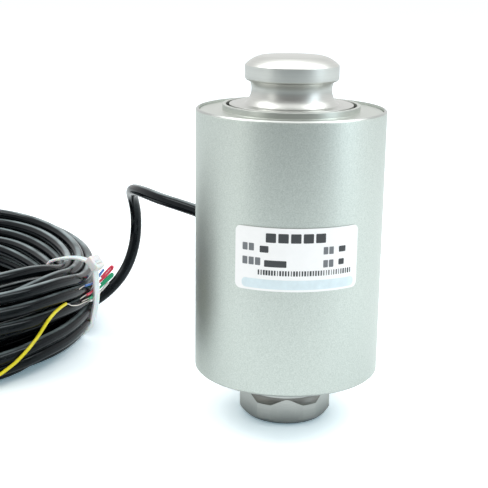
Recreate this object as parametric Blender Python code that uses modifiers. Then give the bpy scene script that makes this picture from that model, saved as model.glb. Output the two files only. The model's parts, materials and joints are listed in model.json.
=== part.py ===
"""Column load cell: a turned steel column sealed in a tubular shell, with its coiled cable.

The column is one turned piece that carries the whole load from its crowned button to its
crowned hexagonal foot. Its gauged shank stands inside a thin shell that a cover closes at
each end. Lengths are in metres. The origin is the middle of the foot's lowest face.
"""

import math

import bmesh
import bpy
import numpy as np
from mathutils import Matrix, Vector

MM = 0.001

# Fits
clearance = 0.3 * MM
chamfer = 0.3 * MM
cutter_margin = 1.0 * MM

# Shell: a bead-blasted tube with a counterbore at each end
shell_radius = 38.0 * MM
shell_bottom_z = 21.2 * MM
shell_wall = 3.5 * MM
shell_rim_wall = 1.2 * MM
shell_rim_bevel = 0.55 * MM
cover_recess = 0.9 * MM

# Covers: a ring plate with a raised collar round the column
cover_thickness = 3.0 * MM
cover_ring_width = 9.4 * MM
collar_wall = 1.35 * MM
collar_height = 2.5 * MM
seal_gap = 1.3 * MM
seal_drop = 1.3 * MM

# Column: button, neck, disc and flange at each end of a gauged shank. Radii are given as steps
# inwards from the shell and the disc, and levels of the button as drops from its crown.
column_height = 150.0 * MM
shell_top_drop = 21.0 * MM
crown_radius = 150.0 * MM
crown_land_radius = 3.0 * MM
button_step = 6.08 * MM
button_crown_step = 4.07 * MM
button_round = 5.6 * MM
button_band_top_drop = 4.0 * MM
button_band_bottom_drop = 8.8 * MM
button_under_round = 1.2 * MM
button_under_drop = 9.9 * MM
neck_step = 8.75 * MM
neck_groove_radius = 7.2 * MM
neck_groove_drop = 13.5 * MM
disc_reach = 0.1 * MM
flange_gap = 4.5 * MM
flange_thickness = 5.0 * MM
shank_step = 10.0 * MM
shank_fillet = 4.0 * MM

# Foot: a crowned head whose six flats run out in a point, because the neck stands just inside them
foot_step = 5.75 * MM
foot_flat_depth = 1.2 * MM
foot_turn = math.radians(3.4)
foot_band_top_z = 9.3 * MM
foot_chamfer = 2.2 * MM
foot_neck_margin = 0.06 * MM
foot_neck_fillet = 4.4 * MM
foot_neck_z = 15.5 * MM
flats_margin = 8.0 * MM

# Gauged shank: a milled flat under each foil gauge
gauge_count = 4
gauge_turn = math.radians(45.0)
gauge_flat_depth = 1.2 * MM
gauge_flat_length = 40.0 * MM
gauge_width = 11.0 * MM
gauge_length = 14.0 * MM
gauge_thickness = 0.35 * MM
grid_width = 4.0 * MM
grid_length = 8.0 * MM
grid_height = 0.2 * MM
tab_length = 1.6 * MM

# Compensation board: a ring of board on posts that stand on the lower flange
board_gap = 1.5 * MM
board_shank_gap = 2.5 * MM
board_thickness = 1.6 * MM
post_count = 3
post_radius = 2.4 * MM
post_pin_radius = 1.3 * MM
post_height = 5.7 * MM
post_head_height = 1.0 * MM
post_turn = math.radians(70.0)
resistor_radius = 1.2 * MM
resistor_length = 7.0 * MM
resistor_cap_radius = 1.4 * MM
resistor_cap_length = 1.2 * MM

# Wires: thin ones from the gauges, and the cable's own cores, down to the board
bridge_wire_radius = 0.4 * MM
signal_wire_radius = 0.6 * MM
signal_wire_pitch = 1.6 * MM
signal_wire_fan = math.radians(6.0)
signal_bend_reach = 2.6 * MM
signal_bend_drop = 2.4 * MM
wire_pad_inset = 2.2 * MM
signal_pad_inset = 3.5 * MM
wire_spacing = 6.0 * MM
signal_spread = 1.2
# A bridge wire's bends, each as its shares of the way out and of the way down
bridge_wire_bends = [(0.0, 0.0), (0.25, 0.25), (0.70, 0.55), (1.0, 0.85), (1.0, 1.0)]

# Gland: screwed through the shell behind the cell, on a spot-faced flat
gland_direction = math.radians(133.0)
spot_face_radius = 9.0 * MM
spot_face_depth = 1.1 * MM
gland_stem_radius = 5.85 * MM
gland_hex_across_flats = 14.0 * MM
gland_hex_thickness = 3.6 * MM
gland_spigot_radius = 5.2 * MM
gland_spigot_length = 4.6 * MM
gland_washer_radius = 7.8 * MM
gland_washer_thickness = 1.0 * MM
locknut_across_flats = 14.0 * MM
locknut_thickness = 2.8 * MM
gland_seat_wall = 1.2 * MM
gland_cap_across_flats = 13.5 * MM
gland_cap_length = 8.6 * MM
gland_cap_hex_length = 5.0 * MM
gland_cap_mouth_wall = 1.3 * MM
mouth_flare = 0.8 * MM

# Label: a plain sticker on the front of the shell
label_width = 50.0 * MM
label_height = 24.7 * MM
label_thickness = 0.2 * MM
label_corner = 2.2 * MM
label_centre_z = 76.5 * MM
label_turn = math.radians(6.1)

# Cable: thirteen metres of round screened lead, coiled on the surface beside the cell
cable_radius = 2.8 * MM
lead_inner_reach = 2.4 * MM
coil_centre_x = -198.0 * MM
coil_centre_y = 88.0 * MM
coil_radius = 85.4 * MM
coil_half_width = 19.1 * MM
coil_height = 45.8 * MM
coil_squareness = 2.4
tied_half_width = 12.6 * MM
tied_half_height = 18.2 * MM
tied_centre_radius = 88.8 * MM
tied_spread = math.radians(32.0)
near_rise = math.radians(15.6)
far_rise = math.radians(54.0)

# Tie: one nylon strap with its head, drawn tight round the bundle
strap_width = 3.6 * MM
strap_thickness = 1.2 * MM
tie_head_width = 6.4 * MM
tie_head_length = 7.0 * MM
tie_head_height = 4.6 * MM
tie_head_angle = math.radians(52.0)

# Cores: the bare end of the cable, folded back under the strap
core_radius = 0.65 * MM
sleeve_radius = 0.9 * MM

# The lead's route from the gland to the coil, its points chosen by hand
lead_route = [
    Vector((-41.7, 44.6, 75.9)) * MM,
    Vector((-50.9, 52.5, 76.8)) * MM,
    Vector((-60.3, 61.0, 77.6)) * MM,
    Vector((-67.6, 70.0, 78.0)) * MM,
    Vector((-73.2, 79.5, 77.3)) * MM,
    Vector((-76.9, 89.0, 75.2)) * MM,
    Vector((-78.4, 97.5, 71.4)) * MM,
    Vector((-78.3, 103.5, 66.0)) * MM,
    Vector((-77.9, 106.8, 59.6)) * MM,
    Vector((-77.9, 107.6, 52.6)) * MM,
    Vector((-78.4, 106.9, 45.8)) * MM,
    Vector((-79.7, 105.0, 39.2)) * MM,
    Vector((-81.9, 102.0, 33.0)) * MM,
    Vector((-85.0, 98.3, 27.8)) * MM,
    Vector((-88.6, 95.2, 23.8)) * MM,
    Vector((-91.9, 93.0, 20.9)) * MM,
]

# Each core: its name, colour and hand-chosen route outside the coil
core_routes = {
    "core_red": (
        (0.72, 0.05, 0.10),
        [(-96.2, 91.2, 30.2), (-94.4, 92.0, 31.4), (-92.1, 93.4, 32.8), (-88.9, 95.6, 34.6)],
    ),
    "core_blue": (
        (0.04, 0.16, 0.50),
        [(-95.9, 91.2, 28.4), (-94.6, 91.6, 29.2), (-93.4, 92.2, 30.2), (-92.2, 92.9, 30.9)],
    ),
    "core_green": (
        (0.02, 0.42, 0.20),
        [(-95.6, 91.2, 26.2), (-94.0, 91.8, 26.9), (-92.0, 92.8, 28.1), (-89.4, 94.6, 29.6)],
    ),
    "core_white": (
        (0.82, 0.82, 0.80),
        [(-95.4, 91.2, 24.4), (-93.8, 91.6, 25.2), (-92.0, 92.4, 26.0), (-90.0, 93.4, 26.8)],
    ),
}

# Where the sleeved drain wire lies on the coil, in degrees round the coil and round its section
drain_sleeve_places = [
    (-24.0, 13.0),
    (-26.0, 12.0),
    (-29.0, 8.0),
    (-32.0, 2.0),
    (-34.0, -3.0),
    (-36.5, -12.0),
    (-39.0, -21.0),
    (-42.0, -30.0),
    (-45.5, -36.0),
    (-48.0, -40.0),
]

# Levels and radii that follow from those above
shell_top_z = column_height - shell_top_drop
button_band_top_z = column_height - button_band_top_drop
button_band_bottom_z = column_height - button_band_bottom_drop
button_under_z = column_height - button_under_drop
neck_groove_z = column_height - neck_groove_drop
gland_z = (shell_top_z + shell_bottom_z) / 2
shell_inner_radius = shell_radius - shell_wall
recess_radius = shell_radius - shell_rim_wall
recess_depth = cover_recess + cover_thickness + clearance
collar_radius = recess_radius - cover_ring_width
collar_inner_radius = collar_radius - collar_wall
disc_radius = collar_inner_radius - seal_gap
disc_top_z = shell_top_z - cover_recess + collar_height + disc_reach
disc_bottom_z = shell_bottom_z + cover_recess - collar_height - disc_reach
button_radius = disc_radius - button_step
button_crown_radius = button_radius - button_crown_step
neck_radius = disc_radius - neck_step
foot_radius = disc_radius - foot_step
foot_across_flats = 2 * (foot_radius - foot_flat_depth)
foot_neck_radius = foot_across_flats / 2 - foot_neck_margin
flange_radius = shell_inner_radius - flange_gap
shank_radius = flange_radius - shank_step
board_inner_radius = shank_radius + board_shank_gap
board_outer_radius = shell_inner_radius - board_gap
board_middle_radius = (board_inner_radius + board_outer_radius) / 2
upper_flange_top_z = shell_top_z - cover_recess - cover_thickness - clearance
lower_flange_bottom_z = shell_bottom_z + cover_recess + cover_thickness + clearance
upper_flange_bottom_z = upper_flange_top_z - flange_thickness
lower_flange_top_z = lower_flange_bottom_z + flange_thickness
shank_middle_z = (upper_flange_bottom_z + lower_flange_top_z) / 2
shank_flat_distance = shank_radius - gauge_flat_depth
board_z = lower_flange_top_z + clearance + post_height + clearance
board_top_z = board_z + board_thickness
spot_face_distance = shell_radius - spot_face_depth
gland_washer_start = spot_face_distance + clearance
gland_hex_start = gland_washer_start + gland_washer_thickness + clearance
gland_hex_end = gland_hex_start + gland_hex_thickness
gland_spigot_end = gland_hex_end + gland_spigot_length
gland_cap_start = gland_hex_end + clearance
gland_cap_end = gland_cap_start + gland_cap_length
gland_bore_radius = cable_radius + clearance
locknut_reach = math.sqrt(shell_inner_radius**2 - (locknut_across_flats / 2) ** 2)
locknut_end = locknut_reach - 2 * clearance
locknut_start = locknut_end - locknut_thickness
gland_stem_start = locknut_start - clearance
gland_seat_start = gland_hex_start + gland_hex_thickness / 2
lead_start = gland_stem_start - lead_inner_reach / 2

# Facets of the round forms
column_steps = 44
shell_steps = 56
ring_steps = 44
small_steps = 12
coil_steps = 48
coil_section_steps = 14


# Scene and materials
for stale in list(bpy.data.objects):
    bpy.data.objects.remove(stale, do_unlink=True)
parts = bpy.data.collections.new("column_load_cell")
cutters = bpy.data.collections.new("cutters")
bpy.context.scene.collection.children.link(parts)
bpy.context.scene.collection.children.link(cutters)


def make_material(name, colour, roughness, metallic=0.0):
    """A plain finish of one colour."""
    material = bpy.data.materials.new(name)
    material.use_nodes = True
    shader = material.node_tree.nodes["Principled BSDF"]
    shader.inputs["Base Color"].default_value = (*colour, 1.0)
    shader.inputs["Roughness"].default_value = roughness
    shader.inputs["Metallic"].default_value = metallic
    return material


def add_piece(name, data, colour, roughness, metallic=0.0):
    """One piece of the load cell, with a material of its own."""
    piece = bpy.data.objects.new(name, data)
    data.materials.append(make_material(name, colour, roughness, metallic))
    parts.objects.link(piece)
    return piece


def add_cutter(name, data):
    """A helper shape that is subtracted from a piece or joined to it."""
    cutter = bpy.data.objects.new(name, data)
    cutter.hide_render = True
    cutter.display_type = "WIRE"
    cutters.objects.link(cutter)
    return cutter


def combine(piece, other, operation):
    """A Boolean of one piece with a helper shape."""
    modifier = piece.modifiers.new(operation.lower() + "_" + other.name, "BOOLEAN")
    modifier.object = other
    modifier.operation = operation


# Outlines are lists of (radius, height), down the outer side from the top
def arc_between(start, end, radius, turn, steps=5):
    """Points after start, to end, on an arc that bulges left of its way for turn 1, right for -1."""
    start = Vector(start)
    end = Vector(end)
    chord = end - start
    radius = max(radius, chord.length / 2)
    normal = Vector((-chord.y, chord.x)) / chord.length
    rise = math.sqrt(radius**2 - (chord.length / 2) ** 2)
    centre = (start + end) / 2 - turn * rise * normal
    first = start - centre
    sweep = -first.angle_signed(end - centre)
    points = []
    for step in range(1, steps + 1):
        angle = sweep * step / steps
        turned_first = Matrix.Rotation(angle, 2) @ first
        points.append(tuple(centre + turned_first))
    return points


def profile_mesh(name, outline, closed):
    """The outline as a wire in the XZ plane, on the +X side."""
    mesh = bpy.data.meshes.new(name)
    count = len(outline)
    edges = [(i, i + 1) for i in range(count - 1)]
    if closed:
        edges.append((count - 1, 0))
    mesh.from_pydata([(r, 0.0, z) for r, z in outline], edges, [])
    return mesh


def add_screw(piece, steps):
    """Turns the piece's profile round its own Z axis."""
    screw = piece.modifiers.new("turned", "SCREW")
    screw.steps = steps
    screw.render_steps = steps
    screw.use_merge_vertices = True
    screw.merge_threshold = 1e-6
    screw.use_smooth_shade = True


def turned_piece(name, outline, steps, closed, colour, roughness, metallic=0.0):
    """A turned piece: closed for a ring, open where the outline starts and ends on the axis."""
    piece = add_piece(name, profile_mesh(name, outline, closed), colour, roughness, metallic)
    add_screw(piece, steps)
    return piece


def turned_cutter(name, outline, steps, closed=False):
    """A turned helper shape."""
    cutter = add_cutter(name, profile_mesh(name, outline, closed))
    add_screw(cutter, steps)
    return cutter


def prism_mesh(name, sides, across_flats, height):
    """A prism that stands on z = 0, with one flat facing -Y."""
    mesh = bpy.data.meshes.new(name)
    radius = across_flats / 2 / math.cos(math.pi / sides)
    work = bmesh.new()
    bmesh.ops.create_cone(
        work, cap_ends=True, segments=sides, radius1=radius, radius2=radius, depth=height
    )
    bmesh.ops.translate(work, verts=work.verts, vec=(0, 0, height / 2))
    bmesh.ops.rotate(
        work, verts=work.verts, matrix=Matrix.Rotation(math.pi / sides, 3, "Z")
    )
    work.to_mesh(mesh)
    work.free()
    return mesh


def box_mesh(name, size, centre):
    """A box of a size about a centre."""
    mesh = bpy.data.meshes.new(name)
    work = bmesh.new()
    bmesh.ops.create_cube(work, size=1.0)
    bmesh.ops.scale(work, verts=work.verts, vec=size)
    bmesh.ops.translate(work, verts=work.verts, vec=centre)
    work.to_mesh(mesh)
    work.free()
    return mesh


def smooth_points(route, spacing):
    """Points about one spacing apart on a smooth curve through the route's own points."""
    knots = np.array([tuple(point) for point in route])
    steps = np.linalg.norm(np.diff(knots, axis=0), axis=1)
    along = np.concatenate([[0.0], np.cumsum(steps)])
    slopes = np.gradient(knots, along, axis=0)
    count = max(4, round(along[-1] / spacing))
    points = []
    for place in np.linspace(0.0, along[-1], count + 1):
        k = min(int(np.searchsorted(along, place, side="right")) - 1, len(steps) - 1)
        t = (place - along[k]) / steps[k]
        leave = knots[k] * (2 * t**3 - 3 * t**2 + 1) + knots[k + 1] * (3 * t**2 - 2 * t**3)
        bend = slopes[k] * (t**3 - 2 * t**2 + t) + slopes[k + 1] * (t**3 - t**2)
        points.append(Vector(leave + bend * steps[k]))
    return points


def tube_piece(name, points, radius, resolution, colour, roughness, metallic=0.0):
    """A round wire or lead along points."""
    curve = bpy.data.curves.new(name, "CURVE")
    curve.dimensions = "3D"
    curve.bevel_depth = radius
    curve.bevel_resolution = resolution
    curve.use_fill_caps = True
    spline = curve.splines.new("POLY")
    spline.points.add(len(points) - 1)
    for knot, point in zip(spline.points, points):
        knot.co = (*point, 1.0)
    return add_piece(name, curve, colour, roughness, metallic)


def mesh_of(obj):
    """The object's finished mesh, with its loose caps welded."""
    bpy.context.view_layer.update()
    graph = bpy.context.evaluated_depsgraph_get()
    mesh = bpy.data.meshes.new_from_object(obj.evaluated_get(graph))
    work = bmesh.new()
    work.from_mesh(mesh)
    bmesh.ops.remove_doubles(work, verts=work.verts, dist=1e-6)
    bmesh.ops.recalc_face_normals(work, faces=work.faces)
    work.to_mesh(mesh)
    work.free()
    return mesh


def polar(radius, angle, z):
    """A point by its distance from the column's axis, its direction and its height."""
    return Vector((radius * math.cos(angle), radius * math.sin(angle), z))


# Column: crowned button, neck groove, disc, flange, shank, and the same again down to the foot
def crown_drop(radius):
    """How far the spherical crown falls from its land out to a radius."""
    return (radius**2 - crown_land_radius**2) / (2 * crown_radius)


def crown_points(radius, steps=3):
    """Places across the crown from its land to a radius, as (radius, drop)."""
    reach = np.linspace(crown_land_radius, radius, steps + 1)
    return [(float(r), crown_drop(float(r))) for r in reach]


def column_outline():
    outline = [(0.0, column_height)]
    outline += [(r, column_height - drop) for r, drop in crown_points(button_crown_radius)]
    band_top = (button_radius, button_band_top_z)
    outline += arc_between(outline[-1], band_top, button_round, 1)
    band_bottom = (button_radius, button_band_bottom_z)
    outline.append(band_bottom)
    groove_centre = neck_radius + neck_groove_radius
    top_angle = math.asin((button_under_z - neck_groove_z) / neck_groove_radius)
    low_angle = math.asin((disc_top_z - neck_groove_z) / neck_groove_radius)
    groove = []
    for angle in np.linspace(top_angle, low_angle, 9):
        reach = groove_centre - neck_groove_radius * math.cos(angle)
        groove.append((reach, neck_groove_z + neck_groove_radius * math.sin(angle)))
    outline += arc_between(band_bottom, groove[0], button_under_round, 1, 2)
    outline += groove[1:]
    outline += [(disc_radius - chamfer, disc_top_z), (disc_radius, disc_top_z - chamfer)]
    outline += [(disc_radius, upper_flange_top_z), (flange_radius, upper_flange_top_z)]
    outline.append((flange_radius, upper_flange_bottom_z))
    fillet_radius = shank_radius + shank_fillet
    fillet_top = (fillet_radius, upper_flange_bottom_z)
    shank_top = (shank_radius, upper_flange_bottom_z - shank_fillet)
    outline.append(fillet_top)
    outline += arc_between(fillet_top, shank_top, shank_fillet, -1, 4)
    shank_bottom = (shank_radius, lower_flange_top_z + shank_fillet)
    outline.append(shank_bottom)
    fillet_bottom = (fillet_radius, lower_flange_top_z)
    outline += arc_between(shank_bottom, fillet_bottom, shank_fillet, -1, 4)
    outline += [(flange_radius, lower_flange_top_z), (flange_radius, lower_flange_bottom_z)]
    outline += [(disc_radius, lower_flange_bottom_z), (disc_radius, disc_bottom_z + chamfer)]
    outline.append((disc_radius - chamfer, disc_bottom_z))
    neck_top = (foot_neck_radius, foot_neck_z)
    neck_round = disc_bottom_z - foot_neck_z
    flare = (foot_neck_radius + neck_round, disc_bottom_z)
    outline.append(flare)
    outline += arc_between(flare, neck_top, neck_round, -1, 3)
    fillet_step = foot_neck_fillet - (foot_radius - foot_neck_radius)
    fillet_z = foot_band_top_z + math.sqrt(foot_neck_fillet**2 - fillet_step**2)
    fillet_start = (foot_neck_radius, fillet_z)
    outline.append(fillet_start)
    outline += arc_between(fillet_start, (foot_radius, foot_band_top_z), foot_neck_fillet, -1, 3)
    crown_reach = foot_radius - foot_chamfer
    foot_edge_z = crown_drop(crown_reach)
    outline += [(foot_radius, foot_edge_z + foot_chamfer)]
    outline += [(r, drop) for r, drop in reversed(crown_points(crown_reach))]
    outline.append((0.0, 0.0))
    return outline


column = turned_piece(
    "column", column_outline(), column_steps, False, (0.62, 0.62, 0.61), 0.28, 1.0
)

# The foot's six flats leave a strip of the turned band between them
hexagon_height = foot_neck_z + 4 * cutter_margin
hexagon = add_cutter(
    "foot_hexagon", prism_mesh("foot_hexagon", 6, foot_across_flats, hexagon_height)
)
hexagon.location = (0, 0, -2 * cutter_margin)
hexagon.rotation_euler = (0, 0, foot_turn)
slab = turned_cutter(
    "foot_flats",
    [(0, foot_neck_z), (foot_radius + flats_margin, foot_neck_z)]
    + [(foot_radius + flats_margin, -cutter_margin), (0, -cutter_margin)],
    small_steps,
)
combine(slab, hexagon, "DIFFERENCE")
combine(column, slab, "DIFFERENCE")

# The shank's gauge flats
for index in range(gauge_count):
    angle = gauge_turn + index * math.tau / gauge_count
    flat = add_cutter(
        f"gauge_flat_{index + 1}",
        box_mesh(
            "gauge_flat",
            (shank_radius, shank_radius * 2, gauge_flat_length),
            (shank_flat_distance + shank_radius / 2, 0, shank_middle_z),
        ),
    )
    flat.rotation_euler = (0, 0, angle)
    combine(column, flat, "DIFFERENCE")

# Shell: a tube with a bevelled rim and a counterbore at each end
shell_outline = [
    (recess_radius + chamfer, shell_top_z),
    (shell_radius - shell_rim_bevel, shell_top_z),
    (shell_radius, shell_top_z - shell_rim_bevel),
    (shell_radius, shell_bottom_z + shell_rim_bevel),
    (shell_radius - shell_rim_bevel, shell_bottom_z),
    (recess_radius + chamfer, shell_bottom_z),
    (recess_radius, shell_bottom_z + chamfer),
    (recess_radius, shell_bottom_z + recess_depth),
    (shell_inner_radius, shell_bottom_z + recess_depth),
    (shell_inner_radius, shell_top_z - recess_depth),
    (recess_radius, shell_top_z - recess_depth),
    (recess_radius, shell_top_z - chamfer),
]
shell = turned_piece("shell", shell_outline, shell_steps, True, (0.60, 0.62, 0.60), 0.42, 0.9)

# Everything on the gland's axis is turned about its own Z, which points out of the cell
gland_axis = bpy.data.objects.new("gland_axis", None)
parts.objects.link(gland_axis)
gland_axis.location = (0, 0, gland_z)
gland_axis.rotation_euler = (0, math.pi / 2, gland_direction)

gland_hole_radius = gland_stem_radius + clearance
gland_pocket_reach = shell_radius + spot_face_radius
gland_pocket = turned_cutter(
    "gland_pocket",
    [(0, gland_pocket_reach), (spot_face_radius, gland_pocket_reach)]
    + [(spot_face_radius, spot_face_distance), (gland_hole_radius, spot_face_distance)]
    + [(gland_hole_radius, shank_radius), (0, shank_radius)],
    small_steps * 2,
)
gland_pocket.parent = gland_axis
combine(shell, gland_pocket, "DIFFERENCE")


# Covers: the lower one is the upper one turned over
def cover_outline(face_z, up):
    """A cover's section, from the level of its outer face, for one that faces up (1) or down (-1)."""
    outer = recess_radius - clearance
    top = face_z + up * collar_height
    inner_face = face_z - up * cover_thickness
    outline = [
        (collar_inner_radius, top),
        (collar_radius - chamfer, top),
        (collar_radius, top - up * chamfer),
        (collar_radius, face_z),
        (outer, face_z),
        (outer, inner_face),
        (collar_inner_radius, inner_face),
    ]
    return outline if up > 0 else outline[::-1]


upper_face_z = shell_top_z - cover_recess
lower_face_z = shell_bottom_z + cover_recess
cover_finish = ((0.62, 0.63, 0.62), 0.34, 0.9)
turned_piece("upper_cover", cover_outline(upper_face_z, 1), ring_steps, True, *cover_finish)
turned_piece("lower_cover", cover_outline(lower_face_z, -1), ring_steps, True, *cover_finish)


# Seals: a rubber ring in the gap between each collar and the column's disc
def seal_outline(outer_z, inner_z):
    inner = disc_radius + clearance
    outer = collar_inner_radius - clearance
    return [(inner, outer_z), (outer, outer_z), (outer, inner_z), (inner, inner_z)]


upper_seal = seal_outline(upper_face_z + collar_height - seal_drop, upper_flange_top_z + clearance)
lower_seal = seal_outline(
    lower_flange_bottom_z - clearance, lower_face_z - collar_height + seal_drop
)
turned_piece("upper_seal", upper_seal, ring_steps, True, (0.02, 0.02, 0.02), 0.7)
turned_piece("lower_seal", lower_seal, ring_steps, True, (0.02, 0.02, 0.02), 0.7)

# Strain gauges: a thin backing with two raised foil grids and their solder tabs
gauge_face = shank_flat_distance + clearance
gauge_outer = gauge_face + gauge_thickness
gauge_mesh = box_mesh(
    "strain_gauge",
    (gauge_thickness, gauge_width, gauge_length),
    (gauge_face + gauge_thickness / 2, 0, shank_middle_z),
)
grid_offset = gauge_width / 4
tab_z = shank_middle_z - gauge_length / 2 + tab_length
for index in range(gauge_count):
    angle = gauge_turn + index * math.tau / gauge_count
    gauge = add_piece(f"strain_gauge_{index + 1}", gauge_mesh.copy(), (0.75, 0.50, 0.16), 0.4)
    gauge.rotation_euler = (0, 0, angle)
    for side in (-1, 1):
        raised = add_cutter(
            f"gauge_grid_{index + 1}_{'left' if side < 0 else 'right'}",
            box_mesh(
                "gauge_grid",
                (gauge_thickness + grid_height, grid_width, grid_length),
                (
                    gauge_face + (gauge_thickness + grid_height) / 2 + clearance / 4,
                    side * grid_offset,
                    shank_middle_z + tab_length / 2,
                ),
            ),
        )
        raised.rotation_euler = (0, 0, angle)
        combine(gauge, raised, "UNION")

# Compensation board: a ring of board with a hole for each post
board = turned_piece(
    "compensation_board",
    [(board_inner_radius, board_top_z), (board_outer_radius, board_top_z)]
    + [(board_outer_radius, board_z), (board_inner_radius, board_z)],
    ring_steps,
    True,
    (0.03, 0.24, 0.10),
    0.45,
)
post_hole_radius = post_pin_radius + clearance
for index in range(post_count):
    angle = post_turn + index * math.tau / post_count
    foot = polar(board_middle_radius, angle, 0)
    hole = turned_cutter(
        f"post_hole_{index + 1}",
        [(0, board_top_z + cutter_margin), (post_hole_radius, board_top_z + cutter_margin)]
        + [(post_hole_radius, board_z - cutter_margin), (0, board_z - cutter_margin)],
        small_steps,
    )
    hole.location = foot
    combine(board, hole, "DIFFERENCE")
    head_z = board_top_z + clearance
    shoulder_z = board_z - clearance
    post = turned_piece(
        f"board_post_{index + 1}",
        [
            (0, head_z + post_head_height),
            (post_pin_radius, head_z + post_head_height),
            (post_radius, head_z),
            (post_pin_radius, head_z),
            (post_pin_radius, shoulder_z),
            (post_radius, shoulder_z),
            (post_radius, lower_flange_top_z + clearance),
            (0, lower_flange_top_z + clearance),
        ],
        small_steps,
        False,
        (0.85, 0.84, 0.78),
        0.5,
    )
    post.location = foot


# Bridge resistors: they lie flat on the board, between the posts
resistor_places = {
    "modulus_resistor_1": 50.0,
    "modulus_resistor_2": 98.0,
    "span_resistor": 170.0,
    "zero_resistor": 290.0,
}
resistor_half = resistor_length / 2
for name, degrees in resistor_places.items():
    angle = math.radians(degrees)
    resistor = turned_piece(
        name,
        [
            (0, resistor_half),
            (resistor_cap_radius, resistor_half),
            (resistor_cap_radius, resistor_half - resistor_cap_length),
            (resistor_radius, resistor_half - resistor_cap_length),
            (resistor_radius, -resistor_half + resistor_cap_length),
            (resistor_cap_radius, -resistor_half + resistor_cap_length),
            (resistor_cap_radius, -resistor_half),
            (0, -resistor_half),
        ],
        small_steps,
        False,
        (0.25, 0.45, 0.62),
        0.35,
    )
    resistor_z = board_top_z + clearance + resistor_cap_radius
    resistor.location = polar(board_middle_radius, angle, resistor_z)
    resistor.rotation_euler = (math.pi / 2, 0, angle)

# Bridge wires: from each gauge's tabs down to the board
wire_end_z = board_top_z + clearance
for index in range(gauge_count):
    angle = gauge_turn + index * math.tau / gauge_count
    start = gauge_outer + clearance + bridge_wire_radius
    end = board_inner_radius + wire_pad_inset
    drop = tab_z - wire_end_z
    route = [
        polar(start + out * (end - start), angle, tab_z - down * drop)
        for out, down in bridge_wire_bends
    ]
    points = smooth_points(route, wire_spacing)
    name = f"bridge_wire_{index + 1}"
    tube_piece(name, points, bridge_wire_radius, 2, (0.70, 0.62, 0.30), 0.4)

# Signal wires: the cable's own cores, from its stripped end down to the board
wire_colours = {
    "signal_wire_red": ((0.65, 0.04, 0.05), -1, 1),
    "signal_wire_green": ((0.02, 0.35, 0.12), 1, 1),
    "signal_wire_white": ((0.80, 0.80, 0.78), -1, -1),
    "signal_wire_blue": ((0.03, 0.12, 0.50), 1, -1),
}
for name, (colour, side, level) in wire_colours.items():
    across = side * signal_wire_pitch / 2
    height = gland_z + level * signal_wire_pitch / 2
    sideways = Vector((-math.sin(gland_direction), math.cos(gland_direction), 0))
    order = side * (1.5 if level > 0 else 0.5)
    start = lead_start - 2 * clearance
    turn_radius = start - signal_bend_reach - level * signal_wire_pitch
    landing_turn = gland_direction + order * signal_wire_fan
    landing = polar(board_outer_radius - signal_pad_inset, landing_turn, wire_end_z)
    high = polar(start, gland_direction, height) + sideways * across
    bend_z = height - signal_bend_drop
    bend = polar(turn_radius, gland_direction, bend_z) + sideways * across * signal_spread
    middle = bend.lerp(landing, 0.5)
    low = landing + Vector((0, 0, wire_spacing))
    points = smooth_points([high, bend, middle, low, landing], wire_spacing)
    tube_piece(name, points, signal_wire_radius, 2, colour, 0.45)


# Gland: body with a hexagon, washer, locknut inside the shell, seal and domed cap
def on_gland(piece):
    piece.parent = gland_axis
    return piece


steel_finish = ((0.72, 0.72, 0.70), 0.25, 1.0)
gland_seal_radius = gland_spigot_radius - gland_seat_wall - clearance
gland_seat_radius = gland_seal_radius + clearance
gland_body = on_gland(
    turned_piece(
        "gland_body",
        [
            (gland_seat_radius, gland_spigot_end),
            (gland_spigot_radius - chamfer, gland_spigot_end),
            (gland_spigot_radius, gland_spigot_end - chamfer),
            (gland_spigot_radius, gland_hex_end - gland_hex_thickness / 2),
            (gland_stem_radius, gland_hex_end - gland_hex_thickness / 2),
            (gland_stem_radius, gland_stem_start + chamfer),
            (gland_stem_radius - chamfer, gland_stem_start),
            (gland_bore_radius, gland_stem_start),
            (gland_bore_radius, gland_seat_start - chamfer),
            (gland_seat_radius, gland_seat_start),
        ],
        small_steps * 2,
        True,
        *steel_finish,
    )
)
hex_collar = on_gland(
    add_cutter(
        "gland_hexagon",
        prism_mesh("gland_hexagon", 6, gland_hex_across_flats, gland_hex_thickness),
    )
)
hex_collar.location = (0, 0, gland_hex_start)
hex_core = on_gland(
    turned_cutter(
        "gland_hexagon_core",
        [
            (0, gland_hex_end + cutter_margin),
            (gland_spigot_radius - chamfer, gland_hex_end + cutter_margin),
            (gland_spigot_radius - chamfer, gland_hex_start - cutter_margin),
            (0, gland_hex_start - cutter_margin),
        ],
        small_steps * 2,
    )
)
combine(hex_collar, hex_core, "DIFFERENCE")
combine(gland_body, hex_collar, "UNION")

washer_inner = gland_stem_radius + clearance
washer_end = gland_washer_start + gland_washer_thickness
on_gland(
    turned_piece(
        "gland_washer",
        [(washer_inner, washer_end), (gland_washer_radius, washer_end)]
        + [(gland_washer_radius, gland_washer_start), (washer_inner, gland_washer_start)],
        small_steps * 2,
        True,
        (0.03, 0.03, 0.03),
        0.6,
    )
)

locknut_data = prism_mesh("gland_locknut", 6, locknut_across_flats, locknut_thickness)
locknut = on_gland(add_piece("gland_locknut", locknut_data, *steel_finish))
locknut.location = (0, 0, locknut_start)
locknut_bore = turned_cutter(
    "locknut_bore",
    [(0, locknut_end + cutter_margin), (washer_inner, locknut_end + cutter_margin)]
    + [(washer_inner, locknut_start - cutter_margin), (0, locknut_start - cutter_margin)],
    small_steps * 2,
)
on_gland(locknut_bore)
combine(locknut, locknut_bore, "DIFFERENCE")

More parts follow.
